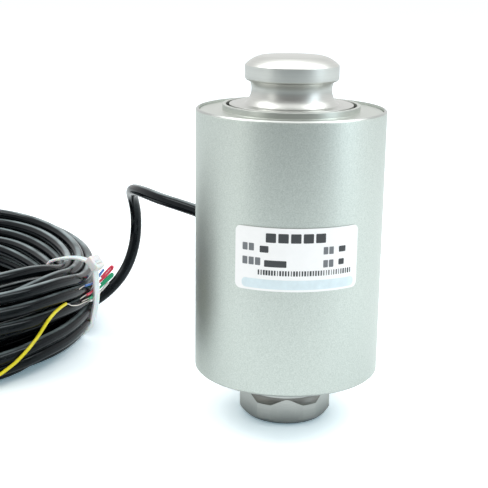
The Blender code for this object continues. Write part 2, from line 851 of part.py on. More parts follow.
cap_face = gland_cap_end - gland_cap_mouth_wall
cap_bore = gland_spigot_radius + clearance
seal_start = gland_seat_start + clearance
seal_end = cap_face - clearance
on_gland(
    turned_piece(
        "gland_seal",
        [(gland_bore_radius, seal_end), (gland_seal_radius, seal_end)]
        + [(gland_seal_radius, seal_start), (gland_bore_radius, seal_start)],
        small_steps * 2,
        True,
        (0.04, 0.04, 0.04),
        0.65,
    )
)

cap_data = prism_mesh("gland_cap", 6, gland_cap_across_flats, gland_cap_length)
cap = on_gland(add_piece("gland_cap", cap_data, *steel_finish))
cap.location = (0, 0, gland_cap_start)
cap_corner = gland_cap_across_flats / 2 / math.cos(math.pi / 6)
cap_dome_z = gland_cap_start + gland_cap_hex_length
cap_mouth_radius = gland_bore_radius + mouth_flare
cap_nose = (cap_mouth_radius + mouth_flare / 2, gland_cap_end)
cap_edge = (gland_cap_across_flats / 2 + chamfer, cap_dome_z)
cap_envelope = on_gland(
    turned_cutter(
        "cap_envelope",
        [(0, gland_cap_end), cap_nose]
        + arc_between(cap_nose, cap_edge, gland_cap_across_flats / 2, 1, 5)
        + [(cap_corner, cap_dome_z - cutter_margin), (cap_corner, gland_cap_start - cutter_margin)]
        + [(0, gland_cap_start - cutter_margin)],
        small_steps * 2,
    )
)
cap_hollow = on_gland(
    turned_cutter(
        "cap_hollow",
        [
            (0, gland_cap_end + cutter_margin),
            (cap_mouth_radius + cutter_margin, gland_cap_end + cutter_margin),
            (gland_bore_radius, gland_cap_end - mouth_flare),
            (gland_bore_radius, cap_face),
            (cap_bore, cap_face),
            (cap_bore, gland_cap_start - cutter_margin),
            (0, gland_cap_start - cutter_margin),
        ],
        small_steps * 2,
    )
)
combine(cap, cap_envelope, "INTERSECT")
combine(cap, cap_hollow, "DIFFERENCE")


# Label: a rounded rectangle wrapped on the front of the shell
def wrapped_label():
    """The sticker as a strip of upright faces, bent onto the shell and thickened outwards."""
    mesh = bpy.data.meshes.new("label")
    work = bmesh.new()
    half = label_width / 2
    corner = [label_corner * (1 - math.cos(step * math.pi / 8)) for step in range(5)]
    middle = np.linspace(label_corner - half, half - label_corner, 17)[1:-1]
    places = [reach - half for reach in corner]
    places += [float(x) for x in middle]
    places += [half - reach for reach in reversed(corner)]
    rows = [[], []]
    for x in places:
        past = max(0.0, abs(x) - (half - label_corner))
        trim = label_corner - math.sqrt(max(0.0, label_corner**2 - past**2))
        for row, side in zip(rows, (-1, 1)):
            height = side * (label_height / 2 - trim)
            row.append(work.verts.new((x, 0, label_centre_z + height)))
    for left in range(len(places) - 1):
        corners = (rows[0][left], rows[0][left + 1], rows[1][left + 1], rows[1][left])
        work.faces.new(corners)
    radius = shell_radius + clearance
    for vert in work.verts:
        angle = vert.co.x / radius + label_turn - math.pi / 2
        vert.co = polar(radius, angle, vert.co.z)
    work.to_mesh(mesh)
    work.free()
    return mesh


label = add_piece("label", wrapped_label(), (0.90, 0.91, 0.92), 0.25)
thickness = label.modifiers.new("thickness", "SOLIDIFY")
thickness.thickness = label_thickness
thickness.offset = 1.0

# Cable: the stretch between the stripped end inside the cell and the coil
lead_points = [
    polar(lead_start, gland_direction, gland_z),
    polar((lead_start + gland_cap_end) / 2, gland_direction, gland_z),
    polar(gland_cap_end, gland_direction, gland_z),
]
tube_piece(
    "cable_lead",
    smooth_points(lead_points + lead_route, 4 * cable_radius),
    cable_radius,
    3,
    (0.012, 0.013, 0.015),
    0.32,
)


# Coil: a turned ring, its section drawn in where the tie holds it
def tied_share(angle, spread):
    """How far the section at an angle round the coil is drawn in, from 0 to 1 at the tie."""
    away = math.remainder(angle, math.tau) / spread
    return math.exp(-(away**2))


def rounded_section(angle, squareness):
    """A point of a rounded section of half-width and half-height 1."""
    width = math.copysign(abs(math.cos(angle)) ** (2 / squareness), math.cos(angle))
    height = math.copysign(abs(math.sin(angle)) ** (2 / squareness), math.sin(angle))
    return width, height


def coil_surface(around, section_angle, stand_off=0.0):
    """A point of the coil's surface, or off it, about the coil's own centre."""
    width, height = rounded_section(section_angle, coil_squareness)
    tied = tied_share(around, tied_spread)
    centre = coil_radius + tied * (tied_centre_radius - coil_radius)
    half_width = coil_half_width + tied * (tied_half_width - coil_half_width)
    near_side = math.remainder(around, math.tau) < 0
    drawn = tied_share(around, near_rise if near_side else far_rise)
    centre_z = coil_height / 2 + drawn * (tied_centre_z - coil_height / 2)
    half_height = coil_height / 2 + drawn * (tied_half_height - coil_height / 2)
    reach = centre + (half_width + stand_off) * width
    return polar(reach, around, centre_z + (half_height + stand_off) * height)


tied_centre_z = strap_thickness + 2 * clearance + tied_half_height
bpy.ops.mesh.primitive_torus_add(
    major_segments=coil_steps,
    minor_segments=coil_section_steps,
    major_radius=coil_radius,
    minor_radius=coil_half_width,
)
coil = bpy.context.active_object
for collection in list(coil.users_collection):
    collection.objects.unlink(coil)
parts.objects.link(coil)
coil.name = "cable_coil"
coil.data.name = "cable_coil"
coil.data.materials.append(make_material("cable_coil", (0.012, 0.013, 0.015), 0.32))
for vertex in coil.data.vertices:
    around = math.atan2(vertex.co.y, vertex.co.x)
    out = math.hypot(vertex.co.x, vertex.co.y) - coil_radius
    vertex.co = coil_surface(around, math.atan2(vertex.co.z, out))
coil_centre = Vector((coil_centre_x, coil_centre_y, 0))
coil.location = coil_centre


# Tie: a closed strap with its head, square to the bundle
def strap_loop(spread, count=40):
    """The strap's outline at a distance from the bundle, in its own plane."""
    points = []
    for index in range(count):
        width, height = rounded_section(index * math.tau / count, coil_squareness)
        across = width * (tied_half_width + spread)
        points.append((across, height * (tied_half_height + spread)))
    return points


strap_curve = bpy.data.curves.new("cable_tie", "CURVE")
strap_curve.dimensions = "2D"
strap_curve.fill_mode = "BOTH"
strap_curve.extrude = strap_width / 2
for spread in (clearance, clearance + strap_thickness):
    loop = strap_loop(spread)
    spline = strap_curve.splines.new("POLY")
    spline.points.add(len(loop) - 1)
    spline.use_cyclic_u = True
    for knot, (across, height) in zip(spline.points, loop):
        knot.co = (across, height, 0.0, 1.0)
flat_strap = bpy.data.objects.new("flat_strap", strap_curve)
parts.objects.link(flat_strap)
tie_place = (coil_centre_x + tied_centre_radius, coil_centre_y, tied_centre_z)
tie = add_piece("cable_tie", mesh_of(flat_strap), (0.88, 0.90, 0.90), 0.35)
bpy.data.objects.remove(flat_strap, do_unlink=True)
tie.location = tie_place
tie.rotation_euler = (math.pi / 2, 0, 0)
head_width, head_height = rounded_section(tie_head_angle, coil_squareness)
head_lift = clearance + tie_head_height / 2
head_x = head_width * tied_half_width + head_lift * math.cos(tie_head_angle)
head_y = head_height * tied_half_height + head_lift * math.sin(tie_head_angle)
head = add_cutter(
    "tie_head", box_mesh("tie_head", (tie_head_height, tie_head_length, tie_head_width), (0, 0, 0))
)
head.parent = tie
head.location = (head_x, head_y, 0)
head.rotation_euler = (0, 0, tie_head_angle)
combine(tie, head, "UNION")

# Cores: short coloured ends beyond the strap, and the long sleeved drain wire
for name, (colour, route) in core_routes.items():
    core_points = [Vector(point) * MM for point in route]
    tube_piece(name, smooth_points(core_points, 2 * MM), core_radius, 2, colour, 0.4)
stand_off = clearance + sleeve_radius
sleeve_route = []
for around, section_angle in drain_sleeve_places:
    place = coil_surface(math.radians(around), math.radians(section_angle), stand_off)
    sleeve_route.append(coil_centre + place)
sleeve_points = smooth_points(sleeve_route, 5 * MM)
tube_piece("drain_sleeve", sleeve_points, sleeve_radius, 2, (0.9, 0.72, 0.02), 0.4)
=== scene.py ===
# Column load cell: the finished surfaces round its CAD frame, with its coiled cable.
# Lengths are in metres, and the origin is the middle of the foot's lowest face.
import json
import math

import bmesh
import bpy
import numpy as np
from mathutils import Matrix, Vector

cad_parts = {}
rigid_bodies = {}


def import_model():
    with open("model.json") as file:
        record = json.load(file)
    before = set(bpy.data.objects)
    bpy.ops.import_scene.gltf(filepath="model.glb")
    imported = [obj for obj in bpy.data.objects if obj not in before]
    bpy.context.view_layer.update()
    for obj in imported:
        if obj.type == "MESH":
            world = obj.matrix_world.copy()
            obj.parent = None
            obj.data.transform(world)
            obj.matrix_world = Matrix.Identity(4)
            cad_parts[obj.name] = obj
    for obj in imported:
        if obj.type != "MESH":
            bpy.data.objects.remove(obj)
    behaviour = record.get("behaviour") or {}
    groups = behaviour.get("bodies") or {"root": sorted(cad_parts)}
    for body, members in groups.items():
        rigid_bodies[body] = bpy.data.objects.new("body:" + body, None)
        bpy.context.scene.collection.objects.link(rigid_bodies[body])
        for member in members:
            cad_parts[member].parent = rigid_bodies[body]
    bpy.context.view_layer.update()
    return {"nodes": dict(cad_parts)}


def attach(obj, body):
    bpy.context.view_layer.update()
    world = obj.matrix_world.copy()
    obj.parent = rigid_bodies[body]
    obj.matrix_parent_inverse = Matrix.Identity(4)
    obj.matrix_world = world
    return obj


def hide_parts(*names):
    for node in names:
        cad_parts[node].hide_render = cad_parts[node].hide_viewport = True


for stale in list(bpy.data.objects):
    bpy.data.objects.remove(stale, do_unlink=True)
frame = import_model()
MM = 0.001

# Studio
# A pale sweep of floor under a white surround, with one soft box on each side and three overhead.
# The camera stands 0.44 m in front of the cell, a little above its button, as in the photo.
camera_place = Vector((0.0, -440.34, 187.79)) * MM
camera_forward = Vector((-0.03972, 0.96667, -0.25297)).normalized()
camera_roll = math.radians(0.762)
focal_pixels = 1108.2
photo_pixels = 488
sensor_width = 36.0


def piece_of(name, data, material=None):
    """An object at the origin for a finished mesh, or for a curve, lamp or camera."""
    piece = bpy.data.objects.new(name, data)
    bpy.context.scene.collection.objects.link(piece)
    if material:
        data.materials.clear()
        data.materials.append(material)
    return piece


level_right = camera_forward.cross(Vector((0, 0, 1))).normalized()
level_up = level_right.cross(camera_forward)
right = math.cos(camera_roll) * level_right + math.sin(camera_roll) * level_up
up = math.cos(camera_roll) * level_up - math.sin(camera_roll) * level_right
lens = bpy.data.cameras.new("camera")
lens.sensor_width = sensor_width
lens.lens = focal_pixels / photo_pixels * sensor_width
lens.clip_start = 0.01
camera = piece_of("camera", lens)
turn = Matrix((right, up, -camera_forward)).transposed().to_4x4()
camera.matrix_world = Matrix.Translation(camera_place) @ turn
bpy.context.scene.camera = camera
bpy.context.scene.view_settings.view_transform = "Standard"


def add(tree, kind, inputs=None, **settings):
    """A node with its settings, and its inputs linked from a socket or set to a value."""
    node = tree.nodes.new(kind)
    for key, value in settings.items():
        setattr(node, key, value)
    for key, value in (inputs or {}).items():
        if isinstance(value, bpy.types.NodeSocket):
            tree.links.new(value, node.inputs[key])
        else:
            node.inputs[key].default_value = value
    return node


def out(tree, kind, inputs=None, **settings):
    """The output in use of such a node."""
    node = add(tree, kind, inputs, **settings)
    return next(socket for socket in node.outputs if socket.enabled)


def math_of(tree, operation, *values):
    """The output of a Math node for sockets or values."""
    return out(tree, "ShaderNodeMath", dict(enumerate(values)), operation=operation)


def ranged(tree, value, low, high, to_low=0.0, to_high=1.0, kind="SMOOTHSTEP"):
    """A value that runs from low to high, mapped to another range and held at its ends."""
    inputs = {"Value": value, "From Min": low, "From Max": high, "To Min": to_low, "To Max": to_high}
    return out(tree, "ShaderNodeMapRange", inputs, interpolation_type=kind)


# Each soft box has its place, its width and height, its brightness and its colour
cell_middle = Vector((0.0, 0.0, 0.07))
soft_boxes = {
    "right_box": ((1.25, -0.5, 0.6), (0.6, 1.2), 2.0, (0.80, 0.92, 1.0)),
    "left_box": ((-1.2, -0.75, 0.5), (0.4, 1.1), 1.25, (0.99, 1.0, 0.96)),
    "top_box": ((-0.1, 0.35, 1.4), (0.65, 0.65), 1.0, (1.0, 1.0, 1.0)),
    "high_left_box": ((-0.85, 0.1, 1.25), (0.7, 0.7), 3.8, (1.0, 1.0, 0.99)),
    "high_right_box": ((0.85, 0.1, 1.25), (0.7, 0.7), 4.4, (0.97, 1.0, 1.0)),
}
for name, (place, size, radiance, colour) in soft_boxes.items():
    lamp = bpy.data.lights.new(name, "AREA")
    lamp.shape = "RECTANGLE"
    lamp.size, lamp.size_y = size
    lamp.energy = radiance * math.pi * size[0] * size[1]
    lamp.color = colour
    aim = (Vector(place) - cell_middle).to_track_quat("Z", "Y")
    piece_of(name, lamp).matrix_world = Matrix.Translation(place) @ aim.to_matrix().to_4x4()

# The surround is white to the camera, and darker in front of the cell to what it lights
world = bpy.data.worlds.new("surround")
bpy.context.scene.world = world
world.use_nodes = True
sky = world.node_tree
sky.nodes.clear()
ray = add(sky, "ShaderNodeLightPath").outputs
where = add(sky, "ShaderNodeTexCoord").outputs["Generated"]
direction = add(sky, "ShaderNodeSeparateXYZ", {"Vector": where}).outputs
depth = ranged(sky, direction["Y"], -0.95, 0.3, 0.34, 1.0)
overhead = ranged(sky, direction["Z"], 0.15, 0.6, 1.0, 0.8)
zenith = ranged(sky, direction["Z"], 0.7, 0.95, 0.0, 1.1)
seen = math_of(sky, "MULTIPLY_ADD", depth, overhead, zenith)
mirrored = math_of(sky, "MAXIMUM", ray["Is Glossy Ray"], ray["Is Transmission Ray"])
ambient = 0.7
lighting = out(sky, "ShaderNodeMix", {"Factor": mirrored, "A": ambient, "B": seen})
level = out(sky, "ShaderNodeMix", {"Factor": ray["Is Camera Ray"], "A": lighting, "B": 1.0})
background = out(sky, "ShaderNodeBackground", {"Strength": level, "Color": (1.0, 1.0, 1.0, 1.0)})
add(sky, "ShaderNodeOutputWorld", {"Surface": background})

# The floor is pale, darker in front of the cell to what it lights, and lit up a little in mirrors
floor_side = 60.0
floor_mesh = bpy.data.meshes.new("floor")
half = floor_side / 2
floor_mesh.from_pydata(
    [(-half, -half, 0), (half, -half, 0), (half, half, 0), (-half, half, 0)], [], [(0, 1, 2, 3)]
)
floor_finish = bpy.data.materials.new("floor")
floor_finish.use_nodes = True
paint = floor_finish.node_tree
paint.nodes.clear()
ray = add(paint, "ShaderNodeLightPath").outputs
mirrored = math_of(paint, "MAXIMUM", ray["Is Glossy Ray"], ray["Is Transmission Ray"])
place = add(paint, "ShaderNodeTexCoord").outputs["Object"]
front = add(paint, "ShaderNodeSeparateXYZ", {"Vector": place}).outputs["Y"]
nearness = ranged(paint, front, -0.75, -0.15)
plain = out(
    paint, "ShaderNodeMix",
    {"Factor": nearness, "A": (0.33, 0.34, 0.34, 1.0), "B": (0.92, 0.94, 0.94, 1.0)}, data_type="RGBA",
)
shade = out(
    paint, "ShaderNodeMix",
    {"Factor": ray["Is Camera Ray"], "A": plain, "B": (1.26, 1.26, 1.26, 1.0)}, data_type="RGBA",
)
mirror_glow = 0.5
glow_level = math_of(paint, "MULTIPLY_ADD", mirrored, mirror_glow, ray["Is Camera Ray"])
diffuse = out(paint, "ShaderNodeBsdfDiffuse", {"Color": shade})
glow = out(paint, "ShaderNodeEmission", {"Color": (0.10, 0.18, 0.22, 1.0), "Strength": glow_level})
add(
    paint, "ShaderNodeOutputMaterial",
    {"Surface": out(paint, "ShaderNodeAddShader", {0: diffuse, 1: glow})},
)
piece_of("floor", floor_mesh, floor_finish)

# Column
# One turned and ground bar of stainless steel that carries the load: crowned button, neck,
# disc, flange, gauged shank, and the same again down to a crowned foot with six wrench flats.
column_height = 150.0 * MM
crown_radius = 150.0 * MM
crown_land = 3.0 * MM
button_crown = 12.9 * MM
button_radius = 18.67 * MM
button_round = 12.0 * MM
band_top = 146.0 * MM
band_bottom = 141.2 * MM
button_under = 140.1 * MM
button_under_round = 1.2 * MM
neck_radius = 16.0 * MM
groove_radius = 7.2 * MM
groove_z = 136.5 * MM
disc_radius = 24.75 * MM
disc_top = 130.7 * MM
disc_bottom = 19.5 * MM
flange_radius = 30.0 * MM
flange_thickness = 5.0 * MM
upper_flange_top = 124.8 * MM
lower_flange_bottom = 25.4 * MM
shank_radius = 20.0 * MM
shank_fillet = 4.0 * MM
foot_radius = 19.0 * MM
foot_across_flats = 35.6 * MM
foot_turn = math.radians(3.4)
foot_band_top = 9.3 * MM
foot_chamfer = 2.2 * MM
foot_neck = foot_across_flats / 2 - 0.06 * MM
foot_neck_fillet = 4.4 * MM
foot_neck_z = 15.5 * MM
gauge_turn = math.radians(45.0)
gauge_count = 4
gauge_face = 18.8 * MM
gauge_flat_length = 40.0 * MM
cutter_width = 40.0 * MM
cutter_depth = 20.0 * MM
slab_reach = 30.0 * MM
slab_overrun = 5.0 * MM
edge_break = 0.3 * MM


def arc_between(start, end, radius, turn, steps):
    """Points after start, to end, on an arc that bulges left of its way for turn 1, right for -1."""
    start = Vector(start)
    end = Vector(end)
    chord = end - start
    radius = max(radius, chord.length / 2)
    normal = Vector((-chord.y, chord.x)) / chord.length
    rise = math.sqrt(radius**2 - (chord.length / 2) ** 2)
    centre = (start + end) / 2 - turn * rise * normal
    sweep = -(start - centre).angle_signed(end - centre)
    spokes = [Matrix.Rotation(sweep * (k + 1) / steps, 2) @ (start - centre) for k in range(steps)]
    return [tuple(centre + spoke) for spoke in spokes]


def eased(outline, reach, closed=False, steps=4):
    """The outline with each sharp corner rounded over a reach to each side."""
    points = [Vector(point) for point in outline]
    count = len(points)
    result = []
    for k, corner in enumerate(points):
        before = points[k - 1] - corner
        after = points[(k + 1) % count] - corner
        at_end = not closed and k in (0, count - 1)
        if at_end or before.angle(after, math.pi) > math.radians(158):
            result.append(tuple(corner))
            continue
        start = corner + before.normalized() * min(reach, before.length * 0.45)
        end = corner + after.normalized() * min(reach, after.length * 0.45)
        for step in range(steps + 1):
            t = step / steps
            result.append(tuple(start * (1 - t) ** 2 + corner * 2 * t * (1 - t) + end * t**2))
    return result


def smooth(mesh, sharp=14.0):
    """Shades the mesh smooth, but for edges sharper than an angle in degrees."""
    mesh.polygons.foreach_set("use_smooth", [True] * len(mesh.polygons))
    mesh.set_sharp_from_angle(angle=math.radians(sharp))


def kept(work, name):
    """The mesh of a finished bmesh."""
    mesh = bpy.data.meshes.new(name)
    work.to_mesh(mesh)
    work.free()
    return mesh


def in_order(work):
    """The same bmesh with its faces in the order of their vertices, which a spin leaves to chance."""
    work.verts.index_update()
    loops = []
    for face in work.faces:
        ring = [vert.index for vert in face.verts]
        first = ring.index(min(ring))
        loops.append(ring[first:] + ring[:first])
    result = bmesh.new()
    corners = [result.verts.new(vert.co) for vert in work.verts]
    for loop in sorted(loops):
        result.faces.new([corners[k] for k in loop])
    work.free()
    return result


def turned(name, outline, steps, closed=False):
    """A turned mesh from (radius, height) points; an open outline starts and ends on the axis."""
    work = bmesh.new()
    verts = [work.verts.new((r, 0.0, z)) for r, z in outline]
    rims = [work.edges.new(pair) for pair in zip(verts, verts[1:])]
    if closed:
        rims.append(work.edges.new((verts[-1], verts[0])))
    about = {"cent": (0, 0, 0), "axis": (0, 0, 1), "angle": math.tau}
    bmesh.ops.spin(work, geom=verts + rims, steps=steps, use_merge=True, **about)
    bmesh.ops.remove_doubles(work, verts=work.verts, dist=1e-7)
    work = in_order(work)
    bmesh.ops.recalc_face_normals(work, faces=work.faces)
    mesh = kept(work, name)
    smooth(mesh)
    return mesh


def plain_mesh(piece):
    """The piece as its modifiers and curves leave it."""
    bpy.context.view_layer.update()
    graph = bpy.context.evaluated_depsgraph_get()
    return bpy.data.meshes.new_from_object(piece.evaluated_get(graph), depsgraph=graph)


def cut(mesh, tools, operation="DIFFERENCE"):
    """The mesh after a Boolean with each tool, a pair of a mesh and a matrix."""
    piece = piece_of("blank", mesh)
    helpers = []
    for tool, matrix in tools:
        helper = piece_of("tool", tool)
        helper.matrix_world = matrix
        helpers.append(helper)
        boolean = piece.modifiers.new("boolean", "BOOLEAN")
        boolean.operation = operation
        boolean.object = helper
    result = plain_mesh(piece)
    for helper in helpers + [piece]:
        bpy.data.objects.remove(helper)
    smooth(result)
    return result


def box(size):
    """A box about its own middle."""
    work = bmesh.new()
    bmesh.ops.create_cube(work, size=1.0)
    bmesh.ops.scale(work, verts=work.verts, vec=size)
    return kept(work, "box")


def prism(across_flats, height):
    """A six-sided prism that stands on z = 0, with one flat facing -Y."""
    reach = across_flats / 2 / math.cos(math.pi / 6)
    work = bmesh.new()
    bmesh.ops.create_cone(
        work, cap_ends=True, segments=6, radius1=reach, radius2=reach, depth=height,
        matrix=Matrix.Rotation(math.pi / 6, 4, "Z") @ Matrix.Translation((0, 0, height / 2)),
    )
    return kept(work, "prism")


def grained(name, scale, shades, roughness, depth, turned_marks=False, detail=3.0, **sockets):
    """A finish between two shades and two roughnesses over a noise, with its other sockets by name."""
    material = bpy.data.materials.new(name)
    material.use_nodes = True
    tree = material.node_tree
    shader = tree.nodes["Principled BSDF"]
    for key, value in sockets.items():
        shader.inputs[key.replace("_", " ")].default_value = value
    where = add(tree, "ShaderNodeTexCoord").outputs["Object"]
    if turned_marks:
        parts = add(tree, "ShaderNodeSeparateXYZ", {"Vector": where}).outputs
        flat = out(tree, "ShaderNodeCombineXYZ", {"X": parts["X"], "Y": parts["Y"]})
        reach = out(tree, "ShaderNodeVectorMath", {0: flat}, operation="LENGTH")
        where = out(tree, "ShaderNodeCombineXYZ", {"X": reach, "Z": parts["Z"]})
    noise = out(tree, "ShaderNodeTexNoise", {"Vector": where, "Scale": scale, "Detail": detail})
    ramp = add(tree, "ShaderNodeValToRGB", {"Fac": noise})
    for element, position, shade in zip(ramp.color_ramp.elements, (0.3, 0.7), shades):
        element.position = position
        element.color = (*shade, 1.0)
    tree.links.new(ramp.outputs["Color"], shader.inputs["Base Color"])
    tree.links.new(ranged(tree, noise, 0.0, 1.0, *roughness, "LINEAR"), shader.inputs["Roughness"])
    bump = out(tree, "ShaderNodeBump", {"Height": noise, "Distance": depth, "Strength": 1.0})
    tree.links.new(bump, shader.inputs["Normal"])
    return material


def crown_drop(radius):
    """How far the spherical crown falls from its land out to a radius."""
    return (radius**2 - crown_land**2) / (2 * crown_radius)


def crown(radius, steps=8):
    """Places across the crown from its land to a radius, as (radius, drop)."""
    return [(float(r), crown_drop(float(r))) for r in np.linspace(crown_land, radius, steps + 1)]


outline = [(0.0, column_height)]
outline += [(r, column_height - drop) for r, drop in crown(button_crown)]
outline += arc_between(outline[-1], (button_radius, band_top), button_round, 1, 10)
groove_centre = neck_radius + groove_radius
first = math.asin((button_under - groove_z) / groove_radius)
last = math.asin((disc_top - groove_z) / groove_radius)
groove = [
    (groove_centre - groove_radius * math.cos(a), groove_z + groove_radius * math.sin(a))
    for a in np.linspace(first, last, 24)
]
outline.append((button_radius, band_bottom))
outline += arc_between(outline[-1], groove[0], button_under_round, 1, 6)
outline += groove[1:]
lower_flange_top = lower_flange_bottom + flange_thickness
upper_flange_bottom = upper_flange_top - flange_thickness
fillet_reach = shank_radius + shank_fillet
middle = [(disc_radius, disc_top), (disc_radius, upper_flange_top), (flange_radius, upper_flange_top)]
middle += [(flange_radius, upper_flange_bottom), (fillet_reach, upper_flange_bottom)]
middle += arc_between(
    middle[-1], (shank_radius, upper_flange_bottom - shank_fillet), shank_fillet, -1, 10
)
middle.append((shank_radius, lower_flange_top + shank_fillet))
middle += arc_between(middle[-1], (fillet_reach, lower_flange_top), shank_fillet, -1, 10)
middle += [(flange_radius, lower_flange_top), (flange_radius, lower_flange_bottom)]
middle += [(disc_radius, lower_flange_bottom), (disc_radius, disc_bottom)]
foot_round = disc_bottom - foot_neck_z
foot = [(foot_neck + foot_round, disc_bottom)]
foot += arc_between(foot[0], (foot_neck, foot_neck_z), foot_round, -1, 8)
fillet_step = foot_neck_fillet - (foot_radius - foot_neck)
foot.append((foot_neck, foot_band_top + math.sqrt(foot_neck_fillet**2 - fillet_step**2)))
foot += arc_between(foot[-1], (foot_radius, foot_band_top), foot_neck_fillet, -1, 12)
foot_crown = foot_radius - foot_chamfer
foot.append((foot_radius, crown_drop(foot_crown) + foot_chamfer))
foot += [(r, drop) for r, drop in reversed(crown(foot_crown))]
foot.append((0.0, 0.0))
outline += eased([outline[-1]] + middle + [foot[0]], edge_break)[1:-1] + foot
column_mesh = turned("column", outline, 160)
slab = turned("flats", [(0, foot_neck_z), (slab_reach, foot_neck_z), (slab_reach, -MM), (0, -MM)], 24)
hexagon = prism(foot_across_flats, slab_reach)
hexagon_place = Matrix.Translation((0, 0, -slab_overrun)) @ Matrix.Rotation(foot_turn, 4, "Z")
slab = cut(slab, [(hexagon, hexagon_place)])
shank_middle = (upper_flange_bottom + lower_flange_top) / 2
milled = []
for index in range(gauge_count):
    spin = Matrix.Rotation(gauge_turn + index * math.tau / gauge_count, 4, "Z")
    place = spin @ Matrix.Translation((gauge_face + cutter_depth / 2, 0, shank_middle))
    milled.append((box((cutter_depth, cutter_width, gauge_flat_length)), place))
column_mesh = cut(column_mesh, [(slab, Matrix.Identity(4))] + milled)

column_steel = grained(
    "column_steel", 5200.0, ((0.57, 0.58, 0.555), (0.65, 0.66, 0.63)), (0.30, 0.42), 0.000004,
    turned_marks=True, Metallic=1.0,
)
tree = column_steel.node_tree
shader = tree.nodes["Principled BSDF"]
tone = shader.inputs["Base Color"].links[0].from_socket
place = add(tree, "ShaderNodeTexCoord").outputs["Object"]
height = add(tree, "ShaderNodeSeparateXYZ", {"Vector": place}).outputs["Z"]

# Its tone at each height in millimetres: painted shade, deep down at the foot and a little in the groove
# under the button
height_shade = add(tree, "ShaderNodeValToRGB", {"Fac": math_of(tree, "DIVIDE", height, column_height)})
height_shade_stops = [(0.0, 0.20), (1.5, 0.36), (4.0, 0.55), (8.0, 0.76), (16.0, 1.0)]
height_shade_stops += [(128.0, 1.0), (134.0, 0.98), (140.0, 0.84), (142.5, 1.0)]
ramp = height_shade.color_ramp
for index, (level, share) in enumerate(height_shade_stops):
    stop = ramp.elements[index] if index < 2 else ramp.elements.new(level * MM / column_height)
    stop.position = level * MM / column_height
    stop.color = (share, share, share, 1.0)
tinted = out(
    tree, "ShaderNodeMix", {"Factor": 1.0, "A": tone, "B": height_shade.outputs["Color"]},
    data_type="RGBA", blend_type="MULTIPLY",
)
tree.links.new(tinted, shader.inputs["Base Color"])
column = piece_of("column_turned", column_mesh, column_steel)
# A darker copy of the steel, painted shade for the fillet over the wrench flats
foot_steel = grained(
    "foot_steel", 5200.0, ((0.19, 0.19, 0.175), (0.25, 0.25, 0.235)), (0.36, 0.48), 0.000004,
    turned_marks=True, Metallic=1.0,
)
column_mesh.materials.append(foot_steel)

# The fillet over the wrench flats takes the dark steel: painted shade under the shell
fillet_from = foot_band_top - 0.5 * MM
least_upward = 0.03
for face in column_mesh.polygons:
    if fillet_from < face.center.z < disc_bottom and face.normal.z > least_upward:
        face.material_index = 1
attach(column, "root")
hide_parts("column")

# Gauges, board and wiring
# Foil gauges are glued to the shank's flats, and wired to a ring of board that stands on the
# lower flange. The whole bridge is sealed inside the shell.
inner_finishes = {
    "gauge_foil": (9000.0, ((0.62, 0.36, 0.10), (0.80, 0.55, 0.20)), (0.3, 0.5), 0.00001),
    "board": (700.0, ((0.015, 0.16, 0.06), (0.03, 0.24, 0.10)), (0.35, 0.55), 0.00002),
    "post_nylon": (1500.0, ((0.80, 0.79, 0.72), (0.88, 0.87, 0.82)), (0.4, 0.55), 0.00001),
    "resistor": (2600.0, ((0.20, 0.40, 0.58), (0.28, 0.50, 0.66)), (0.3, 0.42), 0.00001),
    "bridge_wire": (2600.0, ((0.62, 0.54, 0.24), (0.76, 0.68, 0.36)), (0.35, 0.5), 0.00001),
}
signal_shades = {
    "signal_wire_red": ((0.55, 0.03, 0.04), (0.70, 0.06, 0.07)),
    "signal_wire_green": ((0.02, 0.30, 0.10), (0.04, 0.42, 0.16)),
    "signal_wire_white": ((0.74, 0.74, 0.72), (0.84, 0.84, 0.82)),
    "signal_wire_blue": ((0.02, 0.10, 0.44), (0.04, 0.16, 0.58)),
}


def assign(node, material):
    """A CAD node's finish."""
    for slot in frame["nodes"][node].material_slots:
        slot.material = material


for slot_name, settings in inner_finishes.items():
    material = grained(slot_name, *settings)
    for node, named in frame["nodes"].items():
        if any(slot.material and slot.material.name.startswith(slot_name) for slot in named.material_slots):
            assign(node, material)
for node, shades in signal_shades.items():
    assign(node, grained(node, 2600.0, shades, (0.35, 0.5), 0.00001))

# Shell
# A thin stainless tube over the gauged shank. It is bead blasted to a fine satin grain, and its
# rims are turned afterwards, so they are smoother.
shell_radius = 38.0 * MM
shell_bottom = 21.2 * MM
shell_top = 129.0 * MM
shell_inner = 34.5 * MM
recess_radius = 36.8 * MM
recess_depth = 4.2 * MM
gland_turn = math.radians(133.0)
gland_z = 75.1 * MM
spot_face_radius = 9.0 * MM
spot_face = 36.9 * MM
gland_hole = 6.15 * MM
rim_bevel = 0.55 * MM
rim_groove = 0.13 * MM
rim_depth = rim_bevel + 2 * rim_groove
rim_break = 0.08 * MM
pocket_from = 20.0 * MM
pocket_to = 60.0 * MM


def rim(end, up):
    """The outer corner of a rim, from its flat to the tube: bevel, then the fine groove under it."""
    return [
        (shell_radius - rim_bevel, end),
        (shell_radius, end - up * rim_bevel),
        (shell_radius - rim_groove, end - up * (rim_bevel + rim_groove)),
        (shell_radius, end - up * rim_depth),
    ]


